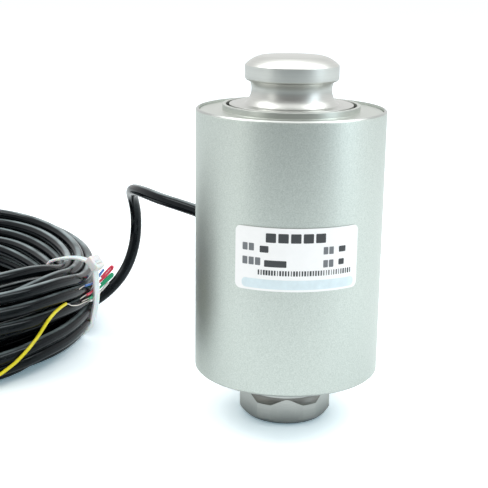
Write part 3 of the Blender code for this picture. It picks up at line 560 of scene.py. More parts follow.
outline = rim(shell_top, 1) + rim(shell_bottom, -1)[::-1]
outline += [
    (recess_radius, shell_bottom),
    (recess_radius, shell_bottom + recess_depth),
    (shell_inner, shell_bottom + recess_depth),
    (shell_inner, shell_top - recess_depth),
    (recess_radius, shell_top - recess_depth),
    (recess_radius, shell_top),
]
shell_mesh = turned("shell", eased(outline, rim_break, True), 192, True)
gland_matrix = (
    Matrix.Translation((0, 0, gland_z))
    @ Matrix.Rotation(gland_turn, 4, "Z")
    @ Matrix.Rotation(math.pi / 2, 4, "Y")
)
pocket_outline = [(0, pocket_to), (spot_face_radius, pocket_to), (spot_face_radius, spot_face)]
pocket_outline += [(gland_hole, spot_face), (gland_hole, pocket_from), (0, pocket_from)]
pocket = turned("pocket", pocket_outline, 64)
shell_mesh = cut(shell_mesh, [(pocket, gland_matrix)])
blasted_shell = grained(
    "blasted_shell", 2100.0, ((0.52, 0.565, 0.525), (0.67, 0.71, 0.67)), (0.36, 0.50), 0.00003,
    detail=5.0, Metallic=1.0,
)
turned_rim = grained(
    "turned_rim", 4200.0, ((0.45, 0.47, 0.45), (0.53, 0.55, 0.53)), (0.28, 0.38), 0.000004,
    turned_marks=True, Metallic=1.0,
)
shell = piece_of("shell_blasted", shell_mesh, blasted_shell)
shell_mesh.materials.append(turned_rim)
rim_inner = recess_radius - 0.2 * MM
rim_reach = rim_bevel + rim_groove / 2
for face in shell_mesh.polygons:
    outer = math.hypot(face.center.x, face.center.y) > rim_inner
    at_end = min(shell_top - face.center.z, face.center.z - shell_bottom) < rim_reach
    if outer and at_end:
        face.material_index = 1
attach(shell, "root")
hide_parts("shell")

# Covers and seals
# A turned ring plate is pressed and sealed into each end of the shell. Its raised collar stands
# round the column's disc, and a ring of black rubber fills the gap so that the column can move.
collar_inner = 26.05 * MM
collar_radius = 27.4 * MM
collar_height = 2.5 * MM
cover_thickness = 3.0 * MM
cover_recess = 0.9 * MM
cover_radius = 36.5 * MM
seal_inner = 25.05 * MM
seal_outer = 25.75 * MM
seal_drop = 1.3 * MM
seal_sag = 0.35 * MM
cover_break = 0.25 * MM
seal_break = 0.12 * MM
cover_steel = grained(
    "cover_steel", 4200.0, ((0.54, 0.565, 0.53), (0.63, 0.66, 0.62)), (0.32, 0.44), 0.000006,
    turned_marks=True, Metallic=1.0,
)
seal_rubber = grained(
    "seal_rubber", 1800.0, ((0.012, 0.012, 0.012), (0.03, 0.03, 0.03)), (0.55, 0.75), 0.00004
)
for end, face, side in (("upper", shell_top - cover_recess, 1), ("lower", shell_bottom + cover_recess, -1)):
    collar_top = face + side * collar_height
    inner_face = face - side * cover_thickness
    outline = [(collar_inner, collar_top), (collar_radius, collar_top), (collar_radius, face)]
    outline += [(cover_radius, face), (cover_radius, inner_face), (collar_inner, inner_face)]
    cover_mesh = turned("cover", eased(outline, cover_break, True), 160, True)
    cover = piece_of(f"{end}_cover_turned", cover_mesh, cover_steel)
    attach(cover, "root")
    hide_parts(f"{end}_cover")
    lip_z = collar_top - side * seal_drop
    seal_middle = (seal_inner + seal_outer) / 2
    outline = [(seal_inner, lip_z), (seal_middle, lip_z - side * seal_sag), (seal_outer, lip_z)]
    outline += [(seal_outer, inner_face), (seal_inner, inner_face)]
    seal_mesh = turned("seal", eased(outline, seal_break, True), 128, True)
    seal = piece_of(f"{end}_seal_poured", seal_mesh, seal_rubber)
    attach(seal, "root")
    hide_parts(f"{end}_seal")

# Gland
# A plated brass cable gland screwed through the shell: body with a hexagon, rubber washer,
# locknut inside, and a domed cap that squeezes a seal on the cable.
gland_steel = grained(
    "gland_steel", 1400.0, ((0.62, 0.62, 0.59), (0.74, 0.74, 0.71)), (0.18, 0.3), 0.00001, Metallic=1.0
)
gland_rubber = seal_rubber.copy()
gland_rubber.name = "gland_rubber"
gland_stem = 5.85 * MM
gland_spigot = 5.2 * MM
gland_bore = 3.1 * MM
gland_seat = 4.0 * MM
hexagon_flats = 14.0 * MM
cap_flats = 13.5 * MM
corner_break = 0.55 * MM
land_inset = 0.1 * MM
washer_from = 37.2 * MM
washer_to = 38.2 * MM
washer_reach = 7.8 * MM
body_from = 30.08 * MM
body_hexagon = (38.5 * MM, 42.1 * MM)
spigot_to = 46.7 * MM
seat_from = 40.3 * MM
locknut_span = (30.38 * MM, 33.18 * MM)
cap_hexagon = (42.4 * MM, 47.4 * MM)
cap_to = 51.0 * MM
cap_dome = 6.5 * MM
cap_cavity = 5.5 * MM
cap_land = 1.1 * MM
cap_dome_round = 4.6 * MM
cavity_drop = 0.4 * MM
nut_break = 0.15 * MM
washer_break = 0.3 * MM


def hexagonal(name, outline, span, flats):
    """A turned ring whose span along its axis is cut to a hexagon across flats."""
    low, high = span
    far = 2 * flats
    slab = turned("slab", [(0, low), (far, low), (far, high), (0, high)], 24)
    slab = cut(slab, [(prism(flats, high - low + 2 * MM), Matrix.Translation((0, 0, low - MM)))])
    return cut(turned(name, eased(outline, nut_break, True), 96, True), [(slab, Matrix.Identity(4))])


def chamfered(span, flats):
    """The outer corners of a hexagon's blank, from its low end to its high one."""
    low, high = span
    corner = flats / 2 / math.cos(math.pi / 6)
    land = flats / 2 - land_inset
    return [(land, low), (corner, low + corner_break), (corner, high - corner_break), (land, high)]


body_outline = [(gland_bore, body_from), (gland_stem, body_from), (gland_stem, body_hexagon[0])]
body_outline += chamfered(body_hexagon, hexagon_flats)
body_outline += [(gland_spigot, body_hexagon[1]), (gland_spigot, spigot_to), (gland_seat, spigot_to)]
body_outline += [(gland_seat, seat_from), (gland_bore, seat_from)]
locknut_outline = [(gland_hole, locknut_span[0])] + chamfered(locknut_span, hexagon_flats)
locknut_outline.append((gland_hole, locknut_span[1]))
cap_outline = [(cap_cavity, cap_hexagon[0])] + chamfered(cap_hexagon, cap_flats)
cap_outline.append((cap_dome, cap_hexagon[1]))
cap_outline += arc_between(cap_outline[-1], (gland_bore + cap_land, cap_to), cap_dome_round, -1, 10)
cap_outline += [(gland_bore, cap_to), (gland_bore, cap_to - MM), (cap_cavity, cap_hexagon[1] - cavity_drop)]
washer_outline = [(gland_hole, washer_from), (washer_reach, washer_from)]
washer_outline += [(washer_reach, washer_to), (gland_hole, washer_to)]
gland_nuts = {
    "gland_body": (body_outline, body_hexagon, hexagon_flats),
    "gland_locknut": (locknut_outline, locknut_span, hexagon_flats),
    "gland_cap": (cap_outline, cap_hexagon, cap_flats),
}
gland_meshes = {name: (hexagonal(name, *sizes), gland_steel) for name, sizes in gland_nuts.items()}
washer_mesh = turned("gland_washer", eased(washer_outline, washer_break, True), 96, True)
gland_meshes["gland_washer"] = (washer_mesh, gland_rubber)
for node, (mesh, material) in gland_meshes.items():
    mesh.transform(gland_matrix)
    piece = piece_of(f"{node}_turned", mesh, material)
    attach(piece, "root")
    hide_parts(node)
assign("gland_seal", gland_rubber)

# Label
# A glossy printed sticker on the front of the shell. Its print is generic: five dark title blocks,
# small grey names, dark values, a row of ticks and a pale blue band along its foot.
label_width = 50.0 * MM
label_height = 24.7 * MM
label_corner = 2.2 * MM
label_z = 76.5 * MM
label_turn = math.radians(6.1)
label_radius = 38.3 * MM
label_thickness = 0.2 * MM
print_lift = 0.03 * MM
print_gap = 0.005 * MM
patch_spacing = 1.2 * MM


def wrapped_patch(left, right_side, low, high, corner, stand_off, thickness):
    """A rounded rectangle of the label's own plane, bent round the shell and given a thickness."""
    middle_x, half_x = (left + right_side) / 2, (right_side - left) / 2
    middle_z, half_z = (low + high) / 2, (high - low) / 2
    corner = min(corner, half_x, half_z)
    reaches = [corner * (1 - math.cos(k * math.pi / 12)) for k in range(7)] if corner else [0.0]
    straight = np.arange(corner - half_x, half_x - corner, patch_spacing)[1:]
    places = [r - half_x for r in reaches] + [float(x) for x in straight]
    places += [half_x - r for r in reversed(reaches)]
    work = bmesh.new()
    rows = []
    for x in places:
        past = max(0.0, abs(x) - (half_x - corner))
        trim = corner - math.sqrt(max(0.0, corner**2 - past**2))
        angle = (middle_x + x) / label_radius + label_turn - math.pi / 2
        row = []
        for reach in (label_radius + stand_off, label_radius + stand_off + thickness):
            for z_side in (-1, 1):
                z = label_z + middle_z + z_side * (half_z - trim)
                row.append(work.verts.new((reach * math.cos(angle), reach * math.sin(angle), z)))
        rows.append(row)
    for one, two in zip(rows, rows[1:]):
        for a, b in ((0, 1), (1, 3), (3, 2), (2, 0)):
            work.faces.new((one[a], one[b], two[b], two[a]))
    for row in (rows[0], rows[-1]):
        work.faces.new((row[0], row[1], row[3], row[2]))
    bmesh.ops.remove_doubles(work, verts=work.verts, dist=1e-7)
    bmesh.ops.recalc_face_normals(work, faces=work.faces)
    mesh = kept(work, "patch")
    smooth(mesh, 30.0)
    return mesh


def joined(name, meshes, material):
    """Several meshes as one piece."""
    work = bmesh.new()
    for mesh in meshes:
        work.from_mesh(mesh)
    mesh = kept(work, name)
    smooth(mesh, 30.0)
    return piece_of(name, mesh, material)


def noded(piece, name, inputs, build):
    """The piece's mesh after a node group that build fills, with its inputs by name."""
    tree = bpy.data.node_groups.new(name, "GeometryNodeTree")
    tree.interface.new_socket("Geometry", in_out="INPUT", socket_type="NodeSocketGeometry")
    tree.interface.new_socket("Geometry", in_out="OUTPUT", socket_type="NodeSocketGeometry")
    marks = {}
    for key, value in inputs.items():
        kind = "NodeSocketInt" if isinstance(value, int) else "NodeSocketFloat"
        marks[key] = tree.interface.new_socket(key, in_out="INPUT", socket_type=kind).identifier
    entry = add(tree, "NodeGroupInput")
    add(tree, "NodeGroupOutput", {"Geometry": build(tree, entry.outputs)})
    modifier = piece.modifiers.new(name, "NODES")
    modifier.node_group = tree
    for key, value in inputs.items():
        modifier[marks[key]] = value
    mesh = plain_mesh(piece)
    bpy.data.objects.remove(piece)
    return mesh


def tick_row(tree, entry):
    """A row of ticks of several widths, bent round the shell."""
    step = out(tree, "ShaderNodeCombineXYZ", {"X": entry["Pitch"]})
    start = out(tree, "ShaderNodeCombineXYZ", {"X": entry["Start"], "Z": entry["Level"]})
    line = {"Count": entry["Count"], "Start Location": start, "Offset": step}
    row = out(tree, "GeometryNodeMeshLine", line)
    size = {"X": entry["Width"], "Y": entry["Lift"], "Z": entry["Height"]}
    tick = out(tree, "GeometryNodeMeshCube", {"Size": out(tree, "ShaderNodeCombineXYZ", size)})
    widths = out(tree, "FunctionNodeRandomValue", {"Min": 0.5, "Max": 1.7, "Seed": entry["Seed"]})
    scale = out(tree, "ShaderNodeCombineXYZ", {"X": widths, "Y": 1.0, "Z": 1.0})
    ticks = out(tree, "GeometryNodeInstanceOnPoints", {"Points": row, "Instance": tick, "Scale": scale})
    whole = out(tree, "GeometryNodeRealizeInstances", {"Geometry": ticks})
    position = out(tree, "GeometryNodeInputPosition")
    place = add(tree, "ShaderNodeSeparateXYZ", {"Vector": position}).outputs
    around = math_of(tree, "DIVIDE", place["X"], entry["Radius"])
    turned_to = math_of(tree, "ADD", around, entry["Turn"])
    reach = math_of(tree, "ADD", entry["Radius"], place["Y"])
    forward = math_of(tree, "MULTIPLY", reach, -1.0)
    x = math_of(tree, "MULTIPLY", reach, math_of(tree, "SINE", turned_to))
    y = math_of(tree, "MULTIPLY", forward, math_of(tree, "COSINE", turned_to))
    bent = out(tree, "ShaderNodeCombineXYZ", {"X": x, "Y": y, "Z": place["Z"]})
    wrapped = out(tree, "GeometryNodeSetPosition", {"Geometry": whole, "Position": bent})
    return out(tree, "GeometryNodeSetMaterial", {"Geometry": wrapped, "Material": inks["ink_dark"]})


label_vinyl = grained(
    "label_vinyl", 500.0, ((0.965, 0.975, 0.98), (0.985, 0.99, 0.995)), (0.14, 0.22), 0.000004,
    Coat_Weight=0.8, Coat_Roughness=0.08,
)
half_width = label_width / 2
half_height = label_height / 2
label_mesh = wrapped_patch(
    -half_width, half_width, -half_height, half_height, label_corner, 0.0, label_thickness
)
label = piece_of("label_sticker", label_mesh, label_vinyl)
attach(label, "root")
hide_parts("label")

# Each field is its left, right, low and high edge in millimetres from the label's middle
title_blocks = [(-12.5 + 4.75 * k, -8.6 + 4.75 * k, 6.7, 10.3) for k in range(5)]
names = [(-21.8 + 2.6 * k, -19.7 + 2.6 * k, 3.1, 6.0) for k in range(2)]
names += [(-21.8 + 2.6 * k, -19.7 + 2.6 * k, -2.4, 0.6) for k in range(3)]
names += [(9.6 + 2.3 * k, 11.5 + 2.3 * k, low, low + 2.9) for k in range(2) for low in (2.1, -3.0)]
values = [(-14.8, -11.4, 2.7, 5.3), (-13.0, -4.5, -2.8, -0.2)]
values += [(16.0, 19.0, 2.6, 4.9), (16.0, 18.4, -2.4, -0.1)]
ink_fields = {
    "ink_dark": ((0.045, 0.05, 0.055), 0.35 * MM, title_blocks + values),
    "ink_grey": ((0.17, 0.185, 0.20), 0.25 * MM, names),
    "ink_blue": ((0.72, 0.85, 0.90), 1.6 * MM, [(-22.0, 23.2, -11.5, -7.8)]),
}


def shades_of(colour, darker, lighter):
    """A colour's two shades."""
    return tuple(darker * c for c in colour), tuple(min(1.0, lighter * c) for c in colour)


inks = {}
printed = []
for name, (colour, corner, fields) in ink_fields.items():
    inks[name] = grained(name, 400.0, shades_of(colour, 0.96, 1.04), (0.2, 0.3), 0.000002)
    patches = [
        wrapped_patch(*(edge * MM for edge in field), corner, label_thickness + print_gap, print_lift)
        for field in fields
    ]
    printed.append(joined(name, patches, inks[name]))
blank = piece_of("ticks", box((MM, MM, MM)))
tick_mesh = noded(
    blank,
    "tick_row",
    {
        "Count": 36,
        "Start": -15.2 * MM,
        "Pitch": 1.05 * MM,
        "Level": label_z - 5.1 * MM,
        "Width": 0.5 * MM,
        "Height": 2.0 * MM,
        "Lift": 2 * print_lift,
        "Radius": label_radius + label_thickness,
        "Turn": label_turn,
        "Seed": 11,
    },
    tick_row,
)
printed.append(piece_of("label_ticks", tick_mesh))
for piece in printed:
    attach(piece, "root")

# Cable
# Thirteen metres of round screened lead with a black sheath. It leaves the gland behind the
# cell, hangs to the floor and is wound into one coil that the tie draws in.
cable_radius = 2.8 * MM
coil_centre = (-198.0 * MM, 88.0 * MM)
coil_radius = 85.4 * MM
coil_half_width = 19.1 * MM
coil_height = 45.8 * MM
coil_squareness = 3.6
floor_squareness = 4.5
tied_spacing = 2.04 * cable_radius
strand_spacing = 2.03 * cable_radius
push = 0.3
bend_easing = 0.22
settling = 0.02
settled_below = 0.3
packing_steps = 900
winding_steps = 500
loose_steps = 430
lead_slot = (0.98, -0.30)
end_slot = (0.42, 0.20)
tied_half_width = 12.6 * MM
tied_half_height = 18.2 * MM
tied_radius = 88.8 * MM
tied_z = 20.0 * MM
tied_spread = math.radians(24.0)
near_rise = math.radians(15.6)
far_rise = math.radians(44.0)
coil_passes = 25
coil_stations = 48
end_stations = 2
wander = 0.22
coil_seed = 1
lead_route = [
    (-20.5, 21.9, 75.1), (-27.6, 29.6, 75.1), (-34.8, 37.3, 75.1), (-41.7, 44.6, 75.9),
    (-50.9, 52.5, 76.8), (-60.3, 61.0, 77.6), (-67.6, 70.0, 78.0), (-73.2, 79.5, 77.3),
    (-76.9, 89.0, 75.2), (-78.4, 97.5, 71.4), (-78.3, 103.5, 66.0), (-77.9, 106.8, 59.6),
    (-77.9, 107.6, 52.6), (-78.4, 106.9, 45.8), (-79.7, 105.0, 39.2), (-81.9, 102.0, 33.0),
    (-85.0, 98.3, 27.8), (-88.6, 95.2, 23.8), (-91.9, 93.0, 20.9), (-95.4, 90.4, 18.6),
    (-98.4, 86.6, 16.9),
]


def coil_section(around):
    """Where the bundle's middle lies at an angle round the coil, and its half width and height."""
    away = math.remainder(around, math.tau)
    tied = math.exp(-((away / tied_spread) ** 2))
    radius = coil_radius + tied * (tied_radius - coil_radius)
    half_width = coil_half_width + tied * (tied_half_width - coil_half_width)
    level = math.exp(-((away / (near_rise if away < 0 else far_rise)) ** 2))
    z = coil_height / 2 + level * (tied_z - coil_height / 2)
    half_height = coil_height / 2 + level * (tied_half_height - coil_height / 2)
    return np.array([radius, z]), np.array([half_width, half_height]) - cable_radius


def kept_in(places, middle, reach):
    """Section places moved onto the section's edge where they are outside it. It is squarer below."""
    scaled = (places - middle) / reach
    squareness = np.where(scaled[..., 1:] < 0, floor_squareness, coil_squareness)
    size = (np.abs(scaled) ** squareness).sum(axis=-1) ** (1 / squareness[..., 0])
    return middle + scaled / np.maximum(size, 1.0)[..., None] * reach


def pushed_apart(places, spacing, share):
    """Section places moved apart where two are closer than a spacing. The last axis is (r, z)."""
    gaps = places[..., :, None, :] - places[..., None, :, :]
    distance = np.sqrt((gaps**2).sum(axis=-1)) + 1e-9
    overlap = np.maximum(spacing - distance, 0.0)
    count = places.shape[-2]
    overlap[..., np.arange(count), np.arange(count)] = 0.0
    return places + share * (gaps / distance[..., None] * overlap[..., None]).sum(axis=-2)


def tied_slots(rng):
    """Where each pass of the cable lies inside the tie, from the lead to the cable's end."""
    middle, reach = coil_section(0.0)
    slots = middle + rng.uniform(-0.8, 0.8, (coil_passes, 2)) * reach
    first = middle + np.array(lead_slot) * reach
    last = middle + np.array(end_slot) * reach
    for step in range(packing_steps):
        slots = pushed_apart(slots, tied_spacing, push)
        slots = kept_in(slots, middle, reach)
        slots[0] = first
        slots[-1] = last
    left = list(range(1, coil_passes - 1))
    order = [0]
    while left:
        near = sorted(left, key=lambda k: float(np.hypot(*(slots[k] - slots[order[-1]]))))
        chosen = near[int(rng.integers(0, min(4, len(near))))]
        order.append(chosen)
        left.remove(chosen)
    return slots[order + [coil_passes - 1]]


def wound_coil(seed):
    """The coil's centreline from the tie to the cable's end, as points about the coil's middle."""
    rng = np.random.default_rng(seed)
    slots = tied_slots(rng)
    angles = -math.tau * np.arange(coil_stations) / coil_stations
    sections = [coil_section(angle) for angle in angles]
    middles = np.array([section[0] for section in sections])
    reaches = np.array([section[1] for section in sections])
    tied_middle, tied_reach = sections[0]
    turns = coil_passes - 1
    share = np.arange(coil_stations) / coil_stations
    blend = np.clip((share - 0.3) / 0.4, 0.0, 1.0)
    blend = blend * blend * (3 - 2 * blend)
    scaled = np.empty((turns, coil_stations, 2))
    for k in range(turns):
        start = (slots[k] - tied_middle) / tied_reach
        end = (slots[k + 1] - tied_middle) / tied_reach
        scaled[k] = start + blend[:, None] * (end - start)
        for wave in (1, 2, 3):
            size = rng.normal(0.0, wander / wave, 2)
            scaled[k] += np.sin(math.pi * share * wave)[:, None] * size
    from_tie = np.minimum(share, 1 - share)
    held = from_tie * coil_stations < 1
    slackness = np.clip(12 * from_tie, 0.0, 1.0)
    for step in range(winding_steps):
        places = pushed_apart((middles + scaled * reaches).transpose(1, 0, 2), strand_spacing, push)
        places = kept_in(places, middles[:, None], reaches[:, None])
        moved = (places.transpose(1, 0, 2) - middles) / reaches
        moved[:, held] = scaled[:, held]
        scaled = moved
        if step < loose_steps:
            pull = np.clip(-scaled[..., 1] - settled_below, 0.0, settled_below) * slackness
            scaled[..., 0] += 0.6 * settling * pull * np.sign(scaled[..., 0])
            scaled[..., 1] -= settling * pull
            chain = np.concatenate([scaled.reshape(-1, 2), (slots[-1:] - tied_middle) / tied_reach])
            chain[1:-1] += bend_easing * (chain[:-2] - 2 * chain[1:-1] + chain[2:])
            scaled[:, ~held] = chain[:-1].reshape(turns, coil_stations, 2)[:, ~held]
    places = middles + scaled * reaches
    chain = np.concatenate([places.reshape(-1, 2), np.repeat(slots[-1:], end_stations + 1, axis=0)])
    around = -math.tau * np.arange(len(chain)) / coil_stations
    return np.stack([chain[:, 0] * np.cos(around), chain[:, 0] * np.sin(around), chain[:, 1]], axis=1)


def smooth_points(knots, per_span):
    """Points on a smooth curve through knots, some to each span."""
    knots = np.array(knots)
    slopes = np.gradient(knots, axis=0)
    t = (np.arange(per_span) / per_span)[None, :, None]
    a, b = knots[:-1, None], knots[1:, None]
    da, db = slopes[:-1, None], slopes[1:, None]
    curve = a * (2 * t**3 - 3 * t**2 + 1) + b * (3 * t**2 - 2 * t**3)
    curve = curve + da * (t**3 - 2 * t**2 + t) + db * (t**3 - t**2)
    return np.concatenate([curve.reshape(-1, 3), knots[-1:]])


def curve_through(name, points, closed=False):
    """A curve of one smooth spline through points."""
    curve = bpy.data.curves.new(name, "CURVE")
    curve.dimensions = "3D"
    spline = curve.splines.new("POLY")
    spline.points.add(len(points) - 1)
    spline.points.foreach_set("co", np.c_[points, np.ones(len(points))].ravel())
    spline.use_smooth = True
    spline.use_cyclic_u = closed
    return piece_of(name, curve)


def round_curve(name, points, radius, resolution, material):
    """A round cord along points."""
    piece = curve_through(name, points)
    piece.data.bevel_depth = radius
    piece.data.bevel_resolution = resolution
    piece.data.use_fill_caps = True
    piece.data.materials.append(material)
    return piece


coil_points = wound_coil(coil_seed) + np.array([*coil_centre, 0.0])
cable_knots = np.concatenate([np.array(lead_route) * MM, coil_points[1:]])
cable_points = smooth_points(cable_knots, 2)
cable_sheath = grained(
    "cable_sheath", 420.0, ((0.002, 0.003, 0.004), (0.005, 0.006, 0.008)), (0.05, 0.15), 0.00002,
    Specular_IOR_Level=0.2, Specular_Tint=(0.85, 0.96, 1.0, 1.0),
)

# The sheath is lighter on top, in patches: a dull dust bloom and a painted highlight
tree = cable_sheath.node_tree
shader = tree.nodes["Principled BSDF"]
tone = shader.inputs["Base Color"].links[0].from_socket
normal = add(tree, "ShaderNodeNewGeometry").outputs["Normal"]
upwards = add(tree, "ShaderNodeSeparateXYZ", {"Vector": normal}).outputs["Z"]
place = add(tree, "ShaderNodeTexCoord").outputs["Object"]
patches = out(tree, "ShaderNodeTexNoise", {"Vector": place, "Scale": 55.0, "Detail": 2.0})
uneven = ranged(tree, patches, 0.35, 0.65, 0.35, 1.0, "LINEAR")
share = math_of(tree, "MULTIPLY", ranged(tree, upwards, 0.82, 1.0), uneven)
# Dust and painted highlight on the tops of the strands
dust_and_highlight = out(
    tree, "ShaderNodeMix", {"Factor": share, "A": tone, "B": (0.29, 0.35, 0.36, 1.0)}, data_type="RGBA"
)
tree.links.new(dust_and_highlight, shader.inputs["Base Color"])
cable = round_curve("cable", cable_points, cable_radius, 4, cable_sheath)
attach(cable, "root")
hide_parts("cable_lead", "cable_coil")

# Tie
# One white nylon cable tie drawn tight round the bundle, with its head outwards. Its strap is a
# moulded band with ratchet teeth on its inner face, and lies on the strands that it holds.
strap_width = 3.9 * MM
strap_thickness = 1.25 * MM
strap_gap = 0.1 * MM
strap_rounding = 0.35 * MM
tooth_spacing = 1.1 * MM
tooth_height = 0.16 * MM
tie_turn = math.radians(-28.0)
tie_middle = Vector((coil_centre[0] + tied_radius, coil_centre[1], tied_z))
tie_head = (7.0 * MM, 7.2 * MM, 4.6 * MM)
tie_head_round = 0.7 * MM
window_thickness = 1.3 * strap_thickness
window_width = 1.04 * strap_width
window_shift = 1.0 * MM
stub_shift = 0.15 * MM
strap_off_middle = -0.8 * MM
strap_slack = [(-12.0, 16.8), (-5.4, 18.9), (-0.3, 20.3), (4.8, 21.1), (9.8, 21.1), (13.6, 20.2)]
strap_slack += [(16.6, 18.8), (17.0, 13.4), (17.2, 8.4), (17.3, 3.3), (16.7, -1.0), (14.7, -5.5)]
tie_head_angle = math.radians(50.0)


def hull_of(points):
    """The convex outline of flat points, anticlockwise."""
    rest = sorted(map(tuple, points))
    chains = []
    for run in (rest, rest[::-1]):
        chain = []
        for point in run:
            while len(chain) > 1:
                (ax, ay), (bx, by) = chain[-2:]
                if (bx - ax) * (point[1] - ay) - (by - ay) * (point[0] - ax) > 0:
                    break
                chain.pop()
            chain.append(point)
        chains += chain[:-1]
    return np.array(chains)


def resampled(loop, count):
    """Evenly spaced points on a closed outline, then eased towards a smooth one."""
    closed = np.concatenate([loop, loop[:1]])
    run = np.concatenate([[0.0], np.cumsum(np.hypot(*np.diff(closed, axis=0).T))])
    places = np.linspace(0.0, run[-1], count, endpoint=False)
    even = np.stack([np.interp(places, run, closed[:, axis]) for axis in (0, 1)], axis=1)
    for step in range(6):
        even = 0.5 * even + 0.25 * (np.roll(even, 1, axis=0) + np.roll(even, -1, axis=0))
    return even


def toothed_band(tree, entry):
    """A rounded band along a flat curve, with a row of teeth on its inner face."""
    flat = out(tree, "GeometryNodeSetCurveNormal", {"Curve": entry["Geometry"]}, mode="Z_UP")
    section_size = {"Width": entry["Thickness"], "Height": entry["Width"]}
    section = out(tree, "GeometryNodeCurvePrimitiveQuadrilateral", section_size)
    corners = {"Curve": section, "Radius": entry["Rounding"], "Count": 3}
    rounded = out(tree, "GeometryNodeFilletCurve", corners, mode="POLY")
    band = out(tree, "GeometryNodeCurveToMesh", {"Curve": flat, "Profile Curve": rounded})
    spacing = {"Curve": flat, "Length": entry["Tooth spacing"]}
    along = add(tree, "GeometryNodeCurveToPoints", spacing, mode="LENGTH").outputs
    reach = math_of(tree, "MULTIPLY", entry["Tooth height"], 2.0)
    breadth = math_of(tree, "MULTIPLY", entry["Width"], 0.6)
    length = math_of(tree, "MULTIPLY", entry["Tooth spacing"], 0.45)
    size = out(tree, "ShaderNodeCombineXYZ", {"X": reach, "Y": breadth, "Z": length})
    tooth = out(tree, "GeometryNodeMeshCube", {"Size": size})
    inward = math_of(tree, "MULTIPLY", entry["Thickness"], entry["Inner side"])
    shift = out(tree, "ShaderNodeCombineXYZ", {"X": inward})
    moved = out(tree, "GeometryNodeTransform", {"Geometry": tooth, "Translation": shift})
    placing = {"Points": along["Points"], "Instance": moved, "Rotation": along["Rotation"]}
    teeth = out(tree, "GeometryNodeInstanceOnPoints", placing)
    both = add(tree, "GeometryNodeJoinGeometry")
    tree.links.new(band, both.inputs[0])
    tree.links.new(teeth, both.inputs[0])
    whole = out(tree, "GeometryNodeRealizeInstances", {"Geometry": both.outputs[0]})
    return out(tree, "GeometryNodeSetMaterial", {"Geometry": whole, "Material": tie_nylon})


tie_nylon = grained(
    "tie_nylon", 1200.0, ((0.88, 0.90, 0.90), (0.95, 0.97, 0.97)), (0.26, 0.4), 0.00001,
    Subsurface_Weight=0.35, Subsurface_Scale=0.0015,
)
across = Vector((math.cos(tie_turn), math.sin(tie_turn), 0))
facing = across.cross(Vector((0, 0, 1)))
tie_axes = Matrix((across, (0, 0, 1), facing)).transposed().to_4x4()
tie_matrix = Matrix.Translation(tie_middle) @ tie_axes

# The strap runs round the places where the strands cross the tie's plane, and over its own slack
coil_side = 30.0 * MM
local = (cable_points - np.array(tie_middle)) @ np.array(tie_matrix.to_3x3())
held_at = []
for one, two in zip(local, local[1:]):
    if one[2] * two[2] <= 0 and one[2] != two[2] and abs(one[0]) < coil_side:
        held_at.append(one + (two - one) * one[2] / (one[2] - two[2]))
round_about = np.radians(np.arange(0, 360, 15))
stand_off = cable_radius + strap_gap + strap_thickness / 2
ring = stand_off * np.stack([np.cos(round_about), np.sin(round_about)], axis=1)
rings = [place[:2] + point for place in held_at for point in ring]
rings += [np.array(place) * MM for place in strap_slack]
loop = resampled(hull_of(rings), 120)
strap_guide = curve_through("strap_line", np.c_[loop, np.zeros(len(loop))], True)
strap_mesh = noded(
    strap_guide,
    "toothed_band",
    {
        "Width": strap_width,
        "Thickness": strap_thickness,
        "Rounding": strap_rounding,
        "Tooth spacing": tooth_spacing,
        "Tooth height": tooth_height,
        "Inner side": 0.5,
    },
    toothed_band,
)
strap_mesh.transform(tie_matrix)
smooth(strap_mesh, 40.0)
strap = piece_of("tie_strap", strap_mesh)

head_index = int(np.argmax(loop @ np.array([math.cos(tie_head_angle), math.sin(tie_head_angle)])))
head_middle = loop[head_index]
heading = Vector((*(loop[(head_index + 2) % len(loop)] - loop[head_index - 2]), 0)).normalized()
outwards = heading.cross(Vector((0, 0, 1)))
work = bmesh.new()
work.from_mesh(box((tie_head[2], tie_head[1], tie_head[0])))
bmesh.ops.bevel(
    work, geom=work.edges[:], offset=tie_head_round, segments=4, affect="EDGES", profile=0.5
)
head_mesh = kept(work, "tie_head")
window = box((tie_head[2], window_thickness, window_width))
window_place = Matrix.Translation((window_shift, strap_off_middle, 0))
stub = box((tie_head[2], strap_thickness, strap_width))
stub_place = Matrix.Translation((stub_shift, strap_off_middle, 0))
head_mesh = cut(head_mesh, [(window, window_place)])
head_mesh = cut(head_mesh, [(stub, stub_place)], "UNION")
head_turn = Matrix((outwards, heading, outwards.cross(heading))).transposed().to_4x4()
head_place = Vector((*head_middle, 0)) + outwards * (tie_head[2] / 2 - strap_thickness / 2)
head_mesh.transform(tie_matrix @ Matrix.Translation(head_place) @ head_turn)
head = piece_of("tie_head", head_mesh, tie_nylon)
for piece in (strap, head):
    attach(piece, "root")
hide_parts("cable_tie")

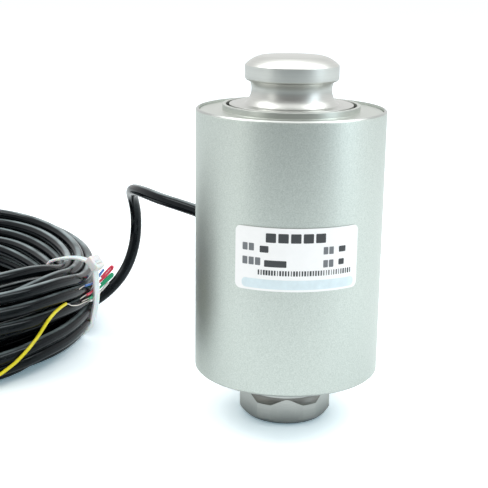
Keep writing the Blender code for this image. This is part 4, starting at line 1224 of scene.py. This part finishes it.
# Cores
# The bare end of the cable. Four soft coloured cores leave the cut sheath, fold back over it and
# under the tie, and fan out behind it. The drain wire is in a long yellow sleeve.
core_radius = 0.62 * MM
sleeve_radius = 0.8 * MM
tip_radius = 0.28 * MM
core_shades = {
    "core_red": (0.72, 0.05, 0.1),
    "core_blue": (0.04, 0.18, 0.55),
    "core_green": (0.02, 0.42, 0.2),
    "core_white": (0.84, 0.84, 0.82),
    "drain_sleeve": (0.92, 0.8, 0.02),
}
core_routes = {
    "core_red": [
        (-97.4, 71.5, 26.4), (-96.7, 75.1, 26.0), (-96.1, 83.1, 25.4), (-95.5, 87.5, 25.9),
        (-94.6, 90.5, 27.2), (-91.8, 93.0, 29.6), (-89.8, 94.8, 31.6), (-88.7, 95.6, 32.9),
        (-88.4, 95.9, 33.9), (-89.1, 95.7, 34.1), (-90.2, 94.8, 33.1), (-92.0, 93.4, 31.2),
        (-93.6, 91.8, 29.4),
    ],
    "core_blue": [
        (-98.2, 71.5, 30.9), (-97.3, 77.0, 29.9), (-96.2, 83.5, 28.8), (-95.6, 87.8, 28.7),
        (-95.0, 90.5, 29.6), (-93.9, 92.4, 31.4), (-92.6, 93.8, 33.0),
    ],
    "core_green": [
        (-96.8, 73.5, 24.0), (-96.2, 77.0, 23.4), (-96.0, 83.1, 23.2), (-95.4, 87.5, 23.2),
        (-94.6, 90.5, 24.0), (-91.7, 93.0, 26.5), (-89.4, 95.0, 28.4), (-88.5, 95.8, 29.5),
        (-88.7, 96.0, 30.2), (-89.5, 95.4, 29.8), (-91.6, 93.8, 28.0), (-93.8, 91.8, 25.9),
    ],
    "core_white": [
        (-96.8, 75.5, 22.2), (-96.3, 78.0, 21.6), (-96.0, 83.6, 21.4), (-95.2, 87.6, 21.2),
        (-94.2, 90.5, 21.9), (-92.2, 91.8, 24.2), (-90.2, 93.0, 26.6),
    ],
    "drain_sleeve": [
        (-103.5, 51.6, 28.0), (-105.0, 45.7, 27.9), (-106.6, 39.9, 27.1), (-108.3, 35.6, 25.2),
        (-110.2, 33.6, 22.3), (-112.1, 31.6, 19.2), (-113.7, 28.3, 17.1), (-115.2, 24.4, 15.3),
        (-117.4, 20.7, 13.1), (-120.1, 18.2, 10.6), (-122.8, 16.0, 8.7), (-125.3, 13.6, 7.2),
        (-128.3, 11.2, 6.0),
    ],
}
wire_ends = {
    "drain_wire": [
        (-96.1, 84.0, 22.5), (-97.0, 72.9, 23.1), (-97.9, 66.7, 24.0), (-99.3, 59.7, 24.9),
        (-101.3, 54.8, 26.2), (-102.8, 52.4, 27.7), (-104.0, 49.6, 28.1),
    ],
    "blue_tip": [
        (-98.1, 72.0, 30.9), (-98.8, 68.5, 31.3), (-99.8, 64.5, 31.2),
    ],
    "red_tip": [
        (-97.3, 72.0, 26.4), (-98.1, 68.5, 26.7), (-99.2, 64.0, 26.6),
    ],
    "green_tip": [
        (-96.7, 74.0, 24.0), (-97.5, 70.0, 24.5), (-98.7, 65.5, 24.9),
    ],
}
for name, route in core_routes.items():
    insulation = grained(name, 2200.0, shades_of(core_shades[name], 0.88, 1.1), (0.24, 0.36), 0.00001)
    width = sleeve_radius if name == "drain_sleeve" else core_radius
    core = round_curve(f"{name}_soft", smooth_points(np.array(route) * MM, 6), width, 3, insulation)
    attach(core, "root")
    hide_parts(name)
tinned_wire = grained(
    "tinned_wire", 5000.0, ((0.66, 0.60, 0.50), (0.86, 0.84, 0.80)), (0.22, 0.4), 0.00002, Metallic=1.0
)
for name, route in wire_ends.items():
    wire = round_curve(name, smooth_points(np.array(route) * MM, 6), tip_radius, 2, tinned_wire)
    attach(wire, "root")
